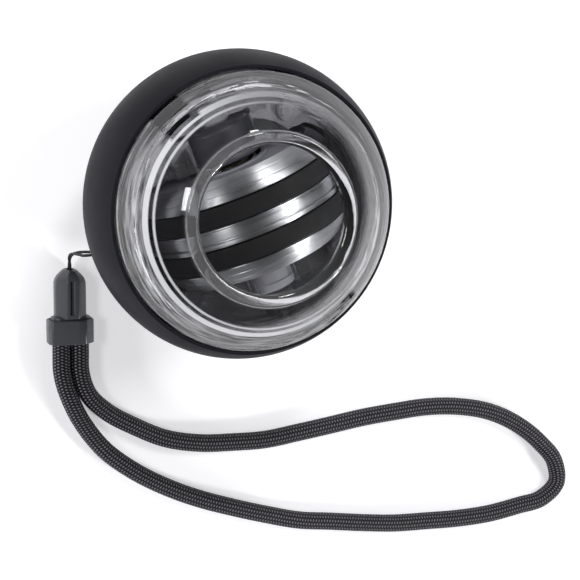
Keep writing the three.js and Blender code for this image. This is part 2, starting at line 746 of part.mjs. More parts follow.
// The turned metal rotor: a heavy rim on a web, two band grooves, a witness groove, round shoulders
function rotorBody() {
  const face = [
    [rimHalf, faceRadius - faceLip], [faceFloor, faceRadius - faceLip],
    [faceFloor, faceRadius - faceLip - rimWall], [webHalf, faceRadius - faceLip - rimWall],
    [webHalf, hubRadius], [faceFloor, hubRadius], [faceFloor, axleHole],
  ];
  const shoulder = [];
  const across = (rimHalf - shoulderStart) / (Math.sin(shoulderTo) - Math.sin(shoulderFrom));
  const drop = (shoulderRadius - faceRadius) / (Math.cos(shoulderFrom) - Math.cos(shoulderTo));
  for (let i = 0; i <= shoulderSteps; i++) {
    const angle = shoulderFrom + ((shoulderTo - shoulderFrom) * i) / shoulderSteps;
    shoulder.push([
      shoulderStart + across * (Math.sin(angle) - Math.sin(shoulderFrom)),
      faceRadius + drop * (Math.cos(angle) - Math.cos(shoulderTo)),
    ]);
  }
  const grooveFloor = bandRadius - bandProud - bandDepth - bandSeat;
  const land = [
    [stripHalf, rotorRadius], [stripHalf, grooveFloor], [grooveEnd, grooveFloor],
    [grooveEnd, shoulderRadius],
  ];
  const half = [...land, ...shoulder, ...face];
  const mirrored = half.map(([place, radius]) => [-place, radius]).reverse();
  const grooveFloorHalf = (grooveWide * grooveFloorShare) / 2;
  const groove = [
    [-grooveOffset - grooveWide / 2, rotorRadius],
    [-grooveOffset - grooveFloorHalf, rotorRadius - grooveDeep],
    [-grooveOffset + grooveFloorHalf, rotorRadius - grooveDeep],
    [-grooveOffset + grooveWide / 2, rotorRadius],
  ];
  return solid(turnedOnAxle([...mirrored, ...groove, ...half], rotorSides));
}

// A rubber band in its groove, on the side given
function gripBand(side) {
  const near = side * (stripHalf + bandSeat);
  const far = side * (stripHalf + bandSeat + bandWide);
  const inner = bandRadius - bandProud - bandDepth;
  const outline = [[near, inner], [near, bandRadius], [far, bandRadius], [far, inner]];
  return solid(turnedOnAxle(outline, rotorSides));
}

// The steel axle, its tips running in the race
function rotorAxle() {
  const end = raceRadius - axleTipGap;
  const thin = axleRadius - axleTipChamfer;
  const half = [[end - axleTipChamfer, axleRadius], [end, thin], [end, 0]];
  const mirrored = half.map(([place, radius]) => [-place, radius]).reverse();
  return solid(turnedOnAxle([...mirrored, ...half], smallSides));
}

// The plain round block that carries the axle on the side without a spring
const bearingBlock = () => solid(turnedOnAxle([
  [-barrelStop, axleHole], [-barrelStop, blockRadius - blockEdge], [blockEdge - barrelStop, blockRadius],
  [-barrelStart - blockEdge, blockRadius], [-barrelStart, blockRadius - blockEdge],
  [-barrelStart, axleHole],
], smallSides));

// The connector: a moulded body with a tapered nose, a seam and a wide foot
function connectorBody() {
  const half = connectorWide / 2;
  const nose = noseShares.map(([along, wide]) => [along * noseLong, wide * half]);
  const edge = [...nose, [connectorLong, half]];
  const plan = [...edge, ...edge.map(([x, y]) => [x, -y]).reverse()];
  const outline = solid(raised(plan, -connectorTall, connectorTall));
  const section = cutRectangle(connectorWide, connectorTall, connectorEdge);
  let body = solid(raisedAlongX(section, 0, connectorLong)).intersect(outline);
  const footStart = connectorLong - footRoot;
  const foot = raisedAlongX(roundSlot(footWide, footTall), footStart, connectorLong + footLong);
  body = body.add(solid(foot));
  const slot = block(
    [-overrun, -slotWide / 2, -slotTall / 2],
    [slotDeep, slotWide / 2, slotTall / 2],
  );
  const seam = block(
    [noseLong, seamOffset - seamWide / 2, connectorTall / 2 - seamDeep],
    [connectorLong - noseLong / 2, seamOffset + seamWide / 2, connectorTall / 2 + overrun],
  );
  return body.subtract(solid(slot)).subtract(solid(seam));
}

// The slider: a collar with a counterbore for the foot and one long bore for both strands
function cordSlider() {
  const section = cutRectangle(sliderWide, sliderTall, sliderEdge);
  const body = solid(raisedAlongX(section, sliderStart, sliderStart + sliderLong));
  const throatWide = 2 * (strandOffset + cordRadius + strandGap);
  const throatTall = 2 * (cordRadius + strandGap);
  const start = sliderStart - overrun;
  const stop = sliderStart + sliderLong + overrun;
  const throat = raisedAlongX(roundSlot(throatWide, throatTall), start, stop);
  const counter = raisedAlongX(roundSlot(counterWide, counterTall), start, strandStart);
  return body.subtract(solid(throat)).subtract(solid(counter));
}

// A place in the connector's own frame, seen from the whole part
function strapPlace(along, across, height) {
  const turn = new THREE.Vector2(along, across).rotateAround(new THREE.Vector2(), connectorTurn);
  return [connectorPlace.x + turn.x, connectorPlace.y + turn.y, height];
}

// The braided cord: out along one strand, round its route and back along the other
function wristCord() {
  const strand = (side) => [
    strapPlace(strandStart, side * strandOffset, strapHeight),
    strapPlace((strandStart + straightEnd) / 2, side * strandOffset, strapHeight),
    strapPlace(straightEnd, side * strandOffset, strapHeight),
  ];
  return [...strand(1), ...cordRoute, ...strand(-1).reverse()];
}

// The thin string: out of the connector, round the lanyard pin and back
function stringRoute() {
  const [pinY, pinZ] = [-pinReach, baseDepth + pocketLevel];
  const bend = pinRadius + pinGap + stringRadius;
  const round = [];
  for (let i = 0; i <= bendSteps; i++) {
    const angle = -Math.PI / 2 - (Math.PI * i) / bendSteps;
    round.push([0, pinY - bend * Math.cos(angle), pinZ + bend * Math.sin(angle)]);
  }
  const start = strapPlace(stringEnd, 0, strapHeight - stringOffset);
  const end = strapPlace(stringEnd, 0, strapHeight + stringOffset);
  return [start, ...stringOut, ...round, ...stringBack, end];
}

// Housing
const housing = new THREE.Group();
housing.position.z = baseDepth;
housing.add(
  piece('lower_shell', lowerShell(), 'softBlack'),
  piece('base_pad', basePad(), 'dark'),
  piece('race_ring', raceTrack(), 'dark'),
  piece('upper_dome', upperDome(), 'clear'),
  piece('lanyard_pin', lanyardPin(), 'steel'),
);

// Carrier ring with the self-start barrel
const ring = new THREE.Group();
ring.position.z = ringHeight;
ring.rotation.z = Math.PI; // the barrel stands on the left
const ringLower = piece('ring_lower', ringHalfBody(true), 'clear');
ringLower.rotation.x = Math.PI;
const bushFar = piece('axle_bush_2', axleBush(), 'brass');
bushFar.rotation.z = Math.PI;
ring.add(
  piece('ring_upper', ringHalfBody(false), 'clear'),
  ringLower,
  piece('axle_bush_1', axleBush(), 'brass'),
  bushFar,
  piece('spring_barrel', springBarrel(), 'dark'),
  piece('barrel_cover', barrelCover(), 'dark'),
  piece('mainspring', mainSpring(), 'steel'),
  piece('bearing_block', bearingBlock(), 'dark'),
  piece('winding_hub', windingHub(), 'brass'),
);
const screwPlaces = [[1, 1], [-1, 1], [-1, -1], [1, -1]];
screwPlaces.forEach(([x, y], i) => {
  ring.add(piece(`ring_screw_${i + 1}`, ringScrew(x * screwPlace, y * screwPlace), 'steel'));
});

// Rotor
const rotor = new THREE.Group();
rotor.position.z = ringHeight;
rotor.rotation.z = Math.PI;
rotor.add(
  piece('rotor_body', rotorBody(), 'turnedMetal'),
  piece('grip_band_1', gripBand(1), 'rubber'),
  piece('grip_band_2', gripBand(-1), 'rubber'),
  piece('axle', rotorAxle(), 'steel'),
  piece('end_disc', endDisc(), 'grey'),
  piece('clutch_disc', clutchDisc(), 'grey'),
);

// Strap
const strapEnd = new THREE.Group();
strapEnd.position.set(connectorPlace.x, connectorPlace.y, strapHeight);
strapEnd.rotation.z = connectorTurn;
strapEnd.add(
  piece('connector', connectorBody(), 'dark'),
  piece('cord_slider', cordSlider(), 'dark'),
);
const strap = new THREE.Group();
strap.add(
  strapEnd,
  piece('string_loop', solid(tube(stringRoute(), stringRadius, stringSides, stringSteps)), 'cord'),
  piece('wrist_cord', solid(tube(wristCord(), cordRadius, cordSides, cordSteps)), 'cord'),
);

const wristBall = new THREE.Group();
wristBall.add(housing, ring, rotor, strap);

export default wristBall;
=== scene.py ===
"""Looks of a self-starting gyroscopic wrist ball and its wrist strap.

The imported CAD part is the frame. Each piece is worked out in millimetres, in the part's own frame,
and stands for the CAD node that it replaces. +Z is up along the ball's axis, the rotor's axle lies
along X, and the self-start drum is on the -X side.
"""

import math
from types import SimpleNamespace

import bmesh
import bpy
import numpy as np
from mathutils import Matrix, Vector


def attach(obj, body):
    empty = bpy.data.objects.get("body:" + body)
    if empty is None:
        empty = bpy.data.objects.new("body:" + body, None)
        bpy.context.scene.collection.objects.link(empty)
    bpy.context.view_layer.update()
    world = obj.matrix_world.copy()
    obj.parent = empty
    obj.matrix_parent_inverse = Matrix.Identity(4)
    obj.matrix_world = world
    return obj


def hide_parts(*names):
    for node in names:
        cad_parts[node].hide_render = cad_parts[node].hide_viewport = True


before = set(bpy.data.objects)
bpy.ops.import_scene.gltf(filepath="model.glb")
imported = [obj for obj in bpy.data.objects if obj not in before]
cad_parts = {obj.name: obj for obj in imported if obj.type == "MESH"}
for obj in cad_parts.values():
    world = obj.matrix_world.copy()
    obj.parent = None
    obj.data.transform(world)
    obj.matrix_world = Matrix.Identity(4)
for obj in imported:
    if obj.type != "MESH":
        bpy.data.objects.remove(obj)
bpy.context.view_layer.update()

MM = 0.001

# Heights of the ball's widest circle and of the axle
CENTRE = 29.4
AXLE = 32.4

# The ball's radius and its upper half's height. The lower shell's bore, how deep its bowl is under
# the widest circle, and the number of its ribs
BALL = 31.2
DOME_TALL = 28.6
BORE = 27.9
BOWL = 25.4
RIBS = 12

# Directions of the two lugs that hold the dome, in degrees round the ball's axis
LUGS = (19.7, 199.7)
LUG_TURN = math.radians(LUGS[0])

# Carrier ring and rotor: half the window's width, place of the screws, radius of each hole that the
# axle goes through, radius of the rotor's rim, and the two faces of its end discs
WINDOW = 10.95
SCREWS = 14.6
SHAFT = 1.5
RIM = 20.298
DISC_IN, DISC_OUT = 8.3, 9.5

# Strap: where the connector's nose is, and the way the connector points on the floor
NOSE = np.array([4.3, -33.3])
TURN = math.radians(-21.4)
STRAP_HEIGHT = 3.05

# Each strand: its distance from the strap's middle, and the places along it that it goes through
STRAND_OFFSET = 1.96
STRAND_STOPS = (11.8, 15.5, 18.5, 21.2)
CORD_RADIUS = 1.95

# String: where its ends are in the connector, along it and above or below its middle
STRING_END = 1.7
STRING_OFFSET = 0.75
STRING_RADIUS = 0.3

# Lanyard pin: its distance from the ball's axis, its level and height, and the string's bend on it
PIN_REACH = 26.4
PIN_LEVEL = -12
PIN_HEIGHT = CENTRE + PIN_LEVEL
PIN_BEND = 1.7

# Routes over the floor, from one strand round to the other, and from the connector to the pin and
# back. They are the CAD part's own points.
CORD_ROUTE = [
    [30.9, -39.8, 2.8], [36.3, -37.6, 2.2], [42.1, -33.2, 2.0], [47.7, -27.8, 2.0],
    [51.9, -21.3, 2.0], [54.9, -14.5, 2.0], [57.6, -7.4, 2.0], [59.4, 0.2, 2.0],
    [61.1, 7.9, 2.0], [62.6, 14.9, 2.0], [64.6, 22.3, 2.0], [66.8, 29.6, 2.0],
    [70.0, 36.7, 2.0], [74.5, 43.4, 2.0], [80.7, 49.0, 2.0], [86.8, 52.4, 2.0],
    [92.5, 54.2, 2.0], [97.6, 52.9, 2.0], [99.5, 48.2, 2.0], [98.6, 42.4, 2.0],
    [97.2, 35.2, 2.0], [94.8, 27.6, 2.0], [91.9, 20.3, 2.0], [89.0, 13.2, 2.0],
    [85.5, 6.3, 2.0], [81.8, -0.5, 2.0], [78.3, -7.0, 2.0], [73.6, -13.6, 2.0],
    [68.8, -19.8, 2.0], [63.6, -26.0, 2.0], [57.8, -31.8, 2.0], [51.0, -37.2, 2.0],
    [43.9, -41.2, 2.0], [38.2, -42.9, 2.2], [32.2, -43.7, 2.8],
]
STRING_OUT = [
    [3.2, -32.87, 2.6], [1.9, -32.3, 3.7], [1.0, -31.8, 5.9], [0.4, -31.2, 8.8],
    [0.1, -30.4, 12.0], [0.0, -28.9, 15.4],
]
STRING_BACK = [
    [0.0, -28.9, 19.0], [-0.2, -31.0, 17.2], [-0.2, -31.7, 14.0], [0.0, -32.2, 10.4],
    [0.6, -32.6, 7.3], [1.7, -32.8, 5.1], [3.2, -33.0, 4.1],
]


# Shapes: each is (points, faces), points in millimetres

def grid(points, rows_close=False, columns_close=False):
    """A face over every four neighbours in rows of points. A closed direction joins its last to its
    first."""
    index = np.arange(points.shape[0] * points.shape[1]).reshape(points.shape[:2])
    if rows_close:
        index = np.vstack([index, index[:1]])
    if columns_close:
        index = np.hstack([index, index[:, :1]])
    corners = [index[:-1, :-1], index[1:, :-1], index[1:, 1:], index[:-1, 1:]]
    return points.reshape(-1, 3), np.stack(corners, -1).reshape(-1, 4).tolist()


def eased(corners, steps=4):
    """A closed outline of (a, b, ease) corners. Each corner becomes a parabola that starts and ends
    ease away from it on its two sides, and an ease of 0 keeps the corner."""
    corners = np.asarray(corners, float)
    spot, ease = corners[:, :2], corners[:, 2:]
    ends = []
    for way in (1, -1):
        side = np.roll(spot, way, 0) - spot
        length = np.maximum(np.linalg.norm(side, axis=1, keepdims=True), 1e-9)
        ends.append(spot + side * np.minimum(ease / length, 0.48))
    t = np.linspace(0, 1, steps + 1)[:, None, None]
    bend = (1 - t) ** 2 * ends[0] + 2 * t * (1 - t) * spot + t**2 * ends[1]
    outline = bend.transpose(1, 0, 2).reshape(-1, 2)
    return outline[np.linalg.norm(outline - np.roll(outline, 1, 0), axis=1) > 1e-6]


def arc(across, tall, start, stop, count):
    """Corners on an oval: across * cos and tall * sin of an angle, start to stop in degrees."""
    angle = np.radians(np.linspace(start, stop, count))
    return np.stack([across * np.cos(angle), tall * np.sin(angle), 0 * angle], -1).tolist()


def turned(outline, sides, along="Z", height=0.0):
    """An outline of (radius, place) carried round an axis: radius * cos and sin of the angle go
    across it, place goes along it. height lifts the axis."""
    angle = np.linspace(0, 2 * np.pi, sides, endpoint=False)
    radius, place = np.asarray(outline, float)[:, :2].T[:, :, None]
    flat = np.zeros_like(angle)
    if along == "Z":
        parts = [radius * np.cos(angle), radius * np.sin(angle), place + height + flat]
    else:
        parts = [place + flat, radius * np.cos(angle), radius * np.sin(angle) + height]
    return grid(np.stack(parts, -1), rows_close=True, columns_close=True)


def prism(outline, low, high, along="Z", height=0.0):
    """An outline pushed along an axis from low to high, with a flat cap on each end."""
    outline = np.asarray(outline, float)[:, :2]
    count = len(outline)
    ends = np.stack([np.column_stack([outline, np.full(count, end)]) for end in (low, high)])
    order = {"Z": [0, 1, 2], "X": [2, 0, 1], "Y": [0, 2, 1]}[along]
    points, walls = grid(ends[..., order] + [0, 0, height], columns_close=True)
    return points, walls + [list(range(count))[::-1], list(range(count, 2 * count))]


def box(low, high):
    """A plain box between two corners."""
    outline = [[low[0], low[1]], [high[0], low[1]], [high[0], high[1]], [low[0], high[1]]]
    return prism(outline, low[2], high[2])


def loft(sections):
    """Outlines of the same number of points, one behind the other, joined by walls and capped."""
    points, walls = grid(np.asarray(sections, float), columns_close=True)
    count = len(sections[0])
    last = len(points) - count
    return points, walls + [list(range(count))[::-1], list(range(last, last + count))]


def circle(radius, sides, centre=(0.0, 0.0)):
    """An outline of points on a circle."""
    angle = np.linspace(0, 2 * np.pi, sides, endpoint=False)
    return np.stack([centre[0] + radius * np.cos(angle), centre[1] + radius * np.sin(angle)], -1)


def stadium(wide, tall):
    """An outline of two half circles joined by straight sides."""
    radius = tall / 2
    angle = np.linspace(-np.pi / 2, np.pi / 2, 16)
    right = np.stack([wide / 2 - radius + radius * np.cos(angle), radius * np.sin(angle)], -1)
    return np.vstack([right, -right])


def rectangle(left, low, right, high, ease):
    """An outline of a rectangle with its four corners eased."""
    return eased([(left, low, ease), (right, low, ease), (right, high, ease), (left, high, ease)])


def moved(shape, matrix=((1, 0, 0), (0, 1, 0), (0, 0, 1)), by=(0, 0, 0)):
    """The shape with its points multiplied by a matrix and shifted."""
    return np.asarray(shape[0]) @ np.asarray(matrix, float).T + np.asarray(by, float), shape[1]


def about_z(angle):
    """The matrix of a turn about Z."""
    cos, sin = math.cos(angle), math.sin(angle)
    return [[cos, -sin, 0], [sin, cos, 0], [0, 0, 1]]


def each(shapes, *matrix, by):
    """Every one of the shapes, moved in the same way."""
    return [moved(shape, *matrix, by=by) for shape in shapes]


HALF_TURN = [[-1, 0, 0], [0, -1, 0], [0, 0, 1]]
UPSIDE_DOWN = [[-1, 0, 0], [0, 1, 0], [0, 0, -1]]


# Pieces

def placed(name, data):
    """A new object in the scene that holds this data."""
    obj = bpy.data.objects.new(name, data)
    bpy.context.collection.objects.link(obj)
    return obj


def mesh_of(shape):
    """A closed mesh of a shape: doubled points are merged and its faces point outwards."""
    mesh = bpy.data.meshes.new("shape")
    mesh.from_pydata(np.asarray(shape[0]).tolist(), [], shape[1])
    work = bmesh.new()
    work.from_mesh(mesh)
    bmesh.ops.remove_doubles(work, verts=work.verts, dist=1e-5)
    bmesh.ops.recalc_face_normals(work, faces=work.faces)
    work.to_mesh(mesh)
    work.free()
    return mesh


def dress(obj, material, body, nodes, sharp):
    """Gives a finished object its material, the body it rides on and the nodes it stands for."""
    obj.data.transform(Matrix.Scale(MM, 4))
    obj.data.materials.clear()
    obj.data.materials.append(material)
    obj.data.shade_smooth()
    obj.data.set_sharp_from_angle(angle=math.radians(sharp))
    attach(obj, body)
    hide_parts(*nodes)
    return obj


def piece(name, shape, material, body, nodes, joins=(), cuts=(), sharp=32):
    """A piece made of one shape, with others joined to it and cut out of it."""
    obj = placed(name, mesh_of(shape))
    tools = []
    for way, others in (("UNION", joins), ("DIFFERENCE", cuts)):
        for other in others:
            tool = placed("tool", mesh_of(other))
            change = obj.modifiers.new(way, "BOOLEAN")
            change.operation, change.object, change.solver = way, tool, "EXACT"
            tools.append(tool)
    if tools:
        seen = obj.evaluated_get(bpy.context.evaluated_depsgraph_get())
        done = bpy.data.meshes.new_from_object(seen)
        obj.modifiers.clear()
        obj.data = done
        for tool in tools:
            bpy.data.objects.remove(tool)
    obj.data.name = name
    return dress(obj, material, body, nodes, sharp)


# Materials

def linear(code):
    """A colour written as an sRGB hex number, as the linear colour that the shader wants."""
    parts = [int(code[i:i + 2], 16) / 255 for i in (1, 3, 5)]
    return [c / 12.92 if c <= 0.04045 else ((c + 0.055) / 1.055) ** 2.4 for c in parts] + [1.0]


def blank(name):
    """A new material without nodes."""
    material = bpy.data.materials.new(name)
    material.use_nodes = True
    material.node_tree.nodes.clear()
    return material


def plug(material, node, **sockets):
    """Sets inputs of a node, by name, with _ for a space, or by number after an n. Each gets a
    value or another node's output."""
    for key, value in sockets.items():
        socket = node.inputs[int(key[1:]) if key[1:].isdigit() else key.replace("_", " ")]
        if isinstance(value, bpy.types.NodeSocket):
            material.node_tree.links.new(value, socket)
        else:
            socket.default_value = value


def add(material, kind, settings=None, **sockets):
    """Adds a node of that kind to the material. settings are its own properties, and sockets are
    its inputs, as in plug."""
    made = material.node_tree.nodes.new("ShaderNode" + kind)
    for key, value in (settings or {}).items():
        setattr(made, key, value)
    plug(material, made, **sockets)
    return made


def finish(name, **sockets):
    """A new material whose surface is one Principled shader with these sockets set."""
    material = blank(name)
    shader = add(material, "BsdfPrincipled", **sockets)
    add(material, "OutputMaterial", Surface=shader.outputs["BSDF"])
    return material, shader


def calc(material, operation, first, second=0.0):
    """One step of arithmetic on two sockets or numbers."""
    return add(material, "Math", {"operation": operation}, n0=first, n1=second).outputs["Value"]


def times(material, first, *others):
    """The product of sockets or numbers."""
    for other in others:
        first = calc(material, "MULTIPLY", first, other)
    return first


def plus(material, first, *others):
    """The sum of sockets or numbers."""
    for other in others:
        first = calc(material, "ADD", first, other)
    return first


def ramp(material, value, low, high, first=0.0, last=1.0):
    """A number that goes from first to last while the value goes from low to high."""
    return add(material, "MapRange", Value=value, From_Min=low, From_Max=high, To_Min=first,
               To_Max=last).outputs["Result"]


def noise(material, place, size, detail):
    """Noise from 0 to 1 with one grain every size millimetres."""
    grains = add(material, "TexNoise", Vector=place, Scale=1 / (size * MM), Detail=detail)
    return grains.outputs["Fac"]


def blend(material, share, first, second):
    """A colour between two hex colours: the second as far as share says."""
    mixed = add(material, "MixRGB", Fac=share, Color1=linear(first), Color2=linear(second))
    return mixed.outputs["Color"]


def overlay(material, share, below, above):
    """A shader that shows above as far as share says, and below elsewhere."""
    return add(material, "MixShader", n0=share, n1=below, n2=above).outputs["Shader"]


def emboss(material, shader, height, depth, share=1.0):
    """Raises the skin by depth millimetres times the height, as far as share says."""
    bump = add(material, "Bump", Height=height, Distance=depth * MM, Strength=share)
    plug(material, shader, Normal=bump.outputs["Normal"])


def length(material, vector):
    """How long a vector is."""
    return add(material, "VectorMath", {"operation": "LENGTH"}, n0=vector).outputs["Value"]


def from_height(material, height):
    """A point's place, measured from a height in millimetres on the ball's axis."""
    place = add(material, "TexCoord").outputs["Object"]
    return add(material, "Mapping", Vector=place, Location=(0, 0, -height * MM)).outputs["Vector"]


def between(material, value, low, high, soft=0.1):
    """1 where a length lies from low to high millimetres and 0 elsewhere, with soft edges."""
    rise = ramp(material, value, (low - soft) * MM, (low + soft) * MM)
    fall = ramp(material, value, (high - soft) * MM, (high + soft) * MM, 1.0, 0.0)
    return times(material, rise, fall)


def measures(material, turn=0.0):
    """A point's x, y and z, after a turn about the ball's axis, and its distance from that axis."""
    place = add(material, "TexCoord").outputs["Object"]
    turned_place = add(material, "Mapping", Vector=place, Rotation=(0, 0, -turn)).outputs["Vector"]
    parts = add(material, "SeparateXYZ", Vector=turned_place).outputs
    flat = add(material, "CombineXYZ", X=parts["X"], Y=parts["Y"]).outputs["Vector"]
    return SimpleNamespace(x=parts["X"], y=parts["Y"], z=parts["Z"], radius=length(material, flat))


def grained(name, colour, roughness, size, depth, stretch=(1, 1, 1), rough=None, detail=3.0,
            **sockets):
    """A material of one colour with an uneven skin: noise with one grain every size millimetres,
    raised by depth millimetres. rough is the lowest and highest roughness that another, wider noise
    gives. sockets are the shader's other sockets."""
    material, shader = finish(name, Base_Color=linear(colour), Roughness=roughness, **sockets)
    place = add(material, "TexCoord").outputs["Object"]
    spread = add(material, "Mapping", Vector=place, Scale=stretch).outputs["Vector"]
    emboss(material, shader, noise(material, spread, size, detail), depth)
    if rough:
        wide = add(material, "TexNoise", Vector=place, Scale=120.0, Detail=4.0).outputs["Fac"]
        plug(material, shader, Roughness=ramp(material, wide, 0.35, 0.65, *rough))
    return material


def flow_rings(material, at):
    """Faint rings that the flowing plastic leaves: noise that depends on the distance from the
    ball's axis and on the height, and hardly on the angle round the axis."""
    slow = times(material, calc(material, "ARCTAN2", at.y, at.x), 0.0035)
    rings = add(material, "CombineXYZ", X=at.radius, Y=at.z, Z=slow).outputs["Vector"]
    return noise(material, rings, 0.9, 1.0)


def dome_scatter_and_painted_light(material):
    """Where the dome's skin shows a white scatter: the inside of its skirt, in streaks, where it
    stands in for light that the thick clear skirt bends round, and a little on the lip. Two bright
    lines where the skirt meets the oval are painted highlights. All of it fades towards +Y, a
    painted shade on that side, and the two windows for the lugs stay clear."""
    at = measures(material)
    wall = times(material, between(material, at.z, 0, CENTRE + 15.5),
                 between(material, at.radius, 0, 25.4))
    wall = calc(material, "MAXIMUM", wall, between(material, at.z, 0, CENTRE + 12.5))
    wall = times(material, wall, ramp(material, flow_rings(material, at), 0.38, 0.62, 0.05, 1.4))
    # Painted highlights: two narrow bands of white scatter above the crease stand for the bright
    # lines that light makes there
    crease = times(material, between(material, at.z, CENTRE + 15.6, CENTRE + 16.6),
                   between(material, at.radius, 0, 23.4))
    line = times(material, between(material, at.z, CENTRE + 17.3, CENTRE + 17.7),
                 between(material, at.radius, 0, 22.6))
    lip = times(material, between(material, at.z, CENTRE + 22.5, CENTRE + 25),
                between(material, at.radius, 14.2, 17.2, 0.3))
    share = plus(material, times(material, wall, 0.25), times(material, lip, 0.08),
                 times(material, crease, 0.9), times(material, line, 0.75))
    # Painted shade: the scatter fades towards +Y, so that side of the skirt is darker
    share = times(material, share, ramp(material, at.y, -6 * MM, 16 * MM, 1.0, 0.05))
    lugs = measures(material, LUG_TURN)
    lug = times(material, between(material, calc(material, "ABSOLUTE", lugs.y), -1, 3.6, 0.4),
                between(material, lugs.radius, 22.5, 40))
    return times(material, share, calc(material, "SUBTRACT", 1.0, lug))


def dome_dark(material):
    """Where the dome shows the black lugs behind it: the faces of its two windows."""
    at = measures(material, LUG_TURN)
    return times(material, between(material, at.z, CENTRE + 6.3, CENTRE + 11.4),
                 between(material, calc(material, "ABSOLUTE", at.y), -1, 3.1),
                 between(material, calc(material, "ABSOLUTE", at.x), 22.9, 28.4))


def ring_scatter_and_painted_highlight(material):
    """Where the carrier ring shows a white scatter: a little everywhere, and more past the drum's
    end, a painted highlight that stands for the bright reflections there.
    """
    at = measures(material)
    # Painted highlight: more white scatter past the drum's end
    end = ramp(material, at.x, -6 * MM, -12 * MM, 0.0, 0.2)
    return plus(material, times(material, end, between(material, at.radius, 17.8, 40)), 0.03)


def dome_ripple(material, shader):
    """Bends the light in the skirt a little to and fro, in rings, as a drawn-out wall does."""
    at = measures(material)
    skirt = between(material, at.z, 0, CENTRE + 18.5, 0.6)
    emboss(material, shader, flow_rings(material, at), 0.07, skirt)


def clear_plastic(name, tint, shade, roughness, satin_share, dark_share=None):
    """Clear moulded polycarbonate. It bends light, and rays from the lamps go through it, dimmed a
    little, so that what is behind it is lit. satin_share and dark_share say where its skin shows a
    white scatter and where it shows black; in places the scatter is a painted highlight or a painted
    shade, as the share functions say. The scattering is left out of reflections in the metal."""
    material = blank(name)
    shader = add(material, "BsdfPrincipled", Base_Color=linear(tint), Roughness=roughness, IOR=1.58,
                 Transmission_Weight=1.0)
    if dark_share:
        dome_ripple(material, shader)
    path = add(material, "LightPath").outputs
    direct = calc(material, "SUBTRACT", 1.0, path["Is Reflection Ray"])
    # The white scatter that the share functions place; where they say so, it is painted highlight or
    # painted shade
    satin = add(material, "BsdfDiffuse", Color=linear("#f4f4f5")).outputs["BSDF"]
    share = times(material, satin_share(material), direct)
    skin = overlay(material, share, shader.outputs["BSDF"], satin)
    if dark_share:
        dark = add(material, "BsdfDiffuse", Color=linear("#0c0c0d")).outputs["BSDF"]
        skin = overlay(material, dark_share(material), skin, dark)
    through = add(material, "BsdfTransparent", Color=linear(shade)).outputs["BSDF"]
    add(material, "OutputMaterial", Surface=overlay(material, path["Is Shadow Ray"], skin, through))
    return material


def coated_shell():
    """Injection moulded ABS with a soft-touch coat outside: nearly black, broad dull highlights and
    a fine dusty grain. Past the rim, inside, the bare moulding is smooth and glossier."""
    material, shader = finish("soft_touch_coated_abs", IOR=1.5, Specular_IOR_Level=0.05)
    place = add(material, "TexCoord").outputs["Object"]
    out = length(material, from_height(material, CENTRE))
    coat = ramp(material, out, 28.6 * MM, 29.4 * MM)
    emboss(material, shader, noise(material, place, 0.3, 2.0), 0.006, coat)
    dull = ramp(material, noise(material, place, 9, 4.0), 0.35, 0.65, 0.46, 0.54)
    plug(material, shader, Roughness=ramp(material, coat, 0.0, 1.0, 0.22, dull),
         Base_Color=blend(material, coat, "#0d0d0f", "#1b1b1f"))
    return material


def turned_metal():
    """Turned and buffed zinc alloy. The tool leaves rings round the axle, so the noise depends on
    the place along the axle and on the distance from it, and hardly on the angle. Reflections are
    drawn out across the rings."""
    material, shader = finish(
        "turned_zinc_alloy", Base_Color=linear("#c4c5c8"), Metallic=1.0, Roughness=0.4,
        Anisotropic=0.9, Anisotropic_Rotation=0.25)
    parts = add(material, "SeparateXYZ", Vector=from_height(material, AXLE)).outputs
    flat = add(material, "CombineXYZ", Y=parts["Y"], Z=parts["Z"]).outputs["Vector"]
    slow = times(material, calc(material, "ARCTAN2", parts["Y"], parts["Z"]), 0.0004)
    rings = add(material, "CombineXYZ", X=parts["X"], Y=length(material, flat), Z=slow)
    rings = rings.outputs["Vector"]
    # Tool marks every 0.12 mm, drawn at 0.2 mm so that they show
    marks = noise(material, rings, 0.2, 3.0)
    bands = noise(material, rings, 1.3, 2.0)
    emboss(material, shader, marks, 0.012)
    tangent = add(material, "Tangent", {"direction_type": "RADIAL", "axis": "X"}).outputs["Tangent"]
    plug(material, shader, Roughness=ramp(material, bands, 0.3, 0.7, 0.3, 0.46), Tangent=tangent,
         Base_Color=blend(material, marks, "#b4b5b9", "#d2d3d5"))
    return material


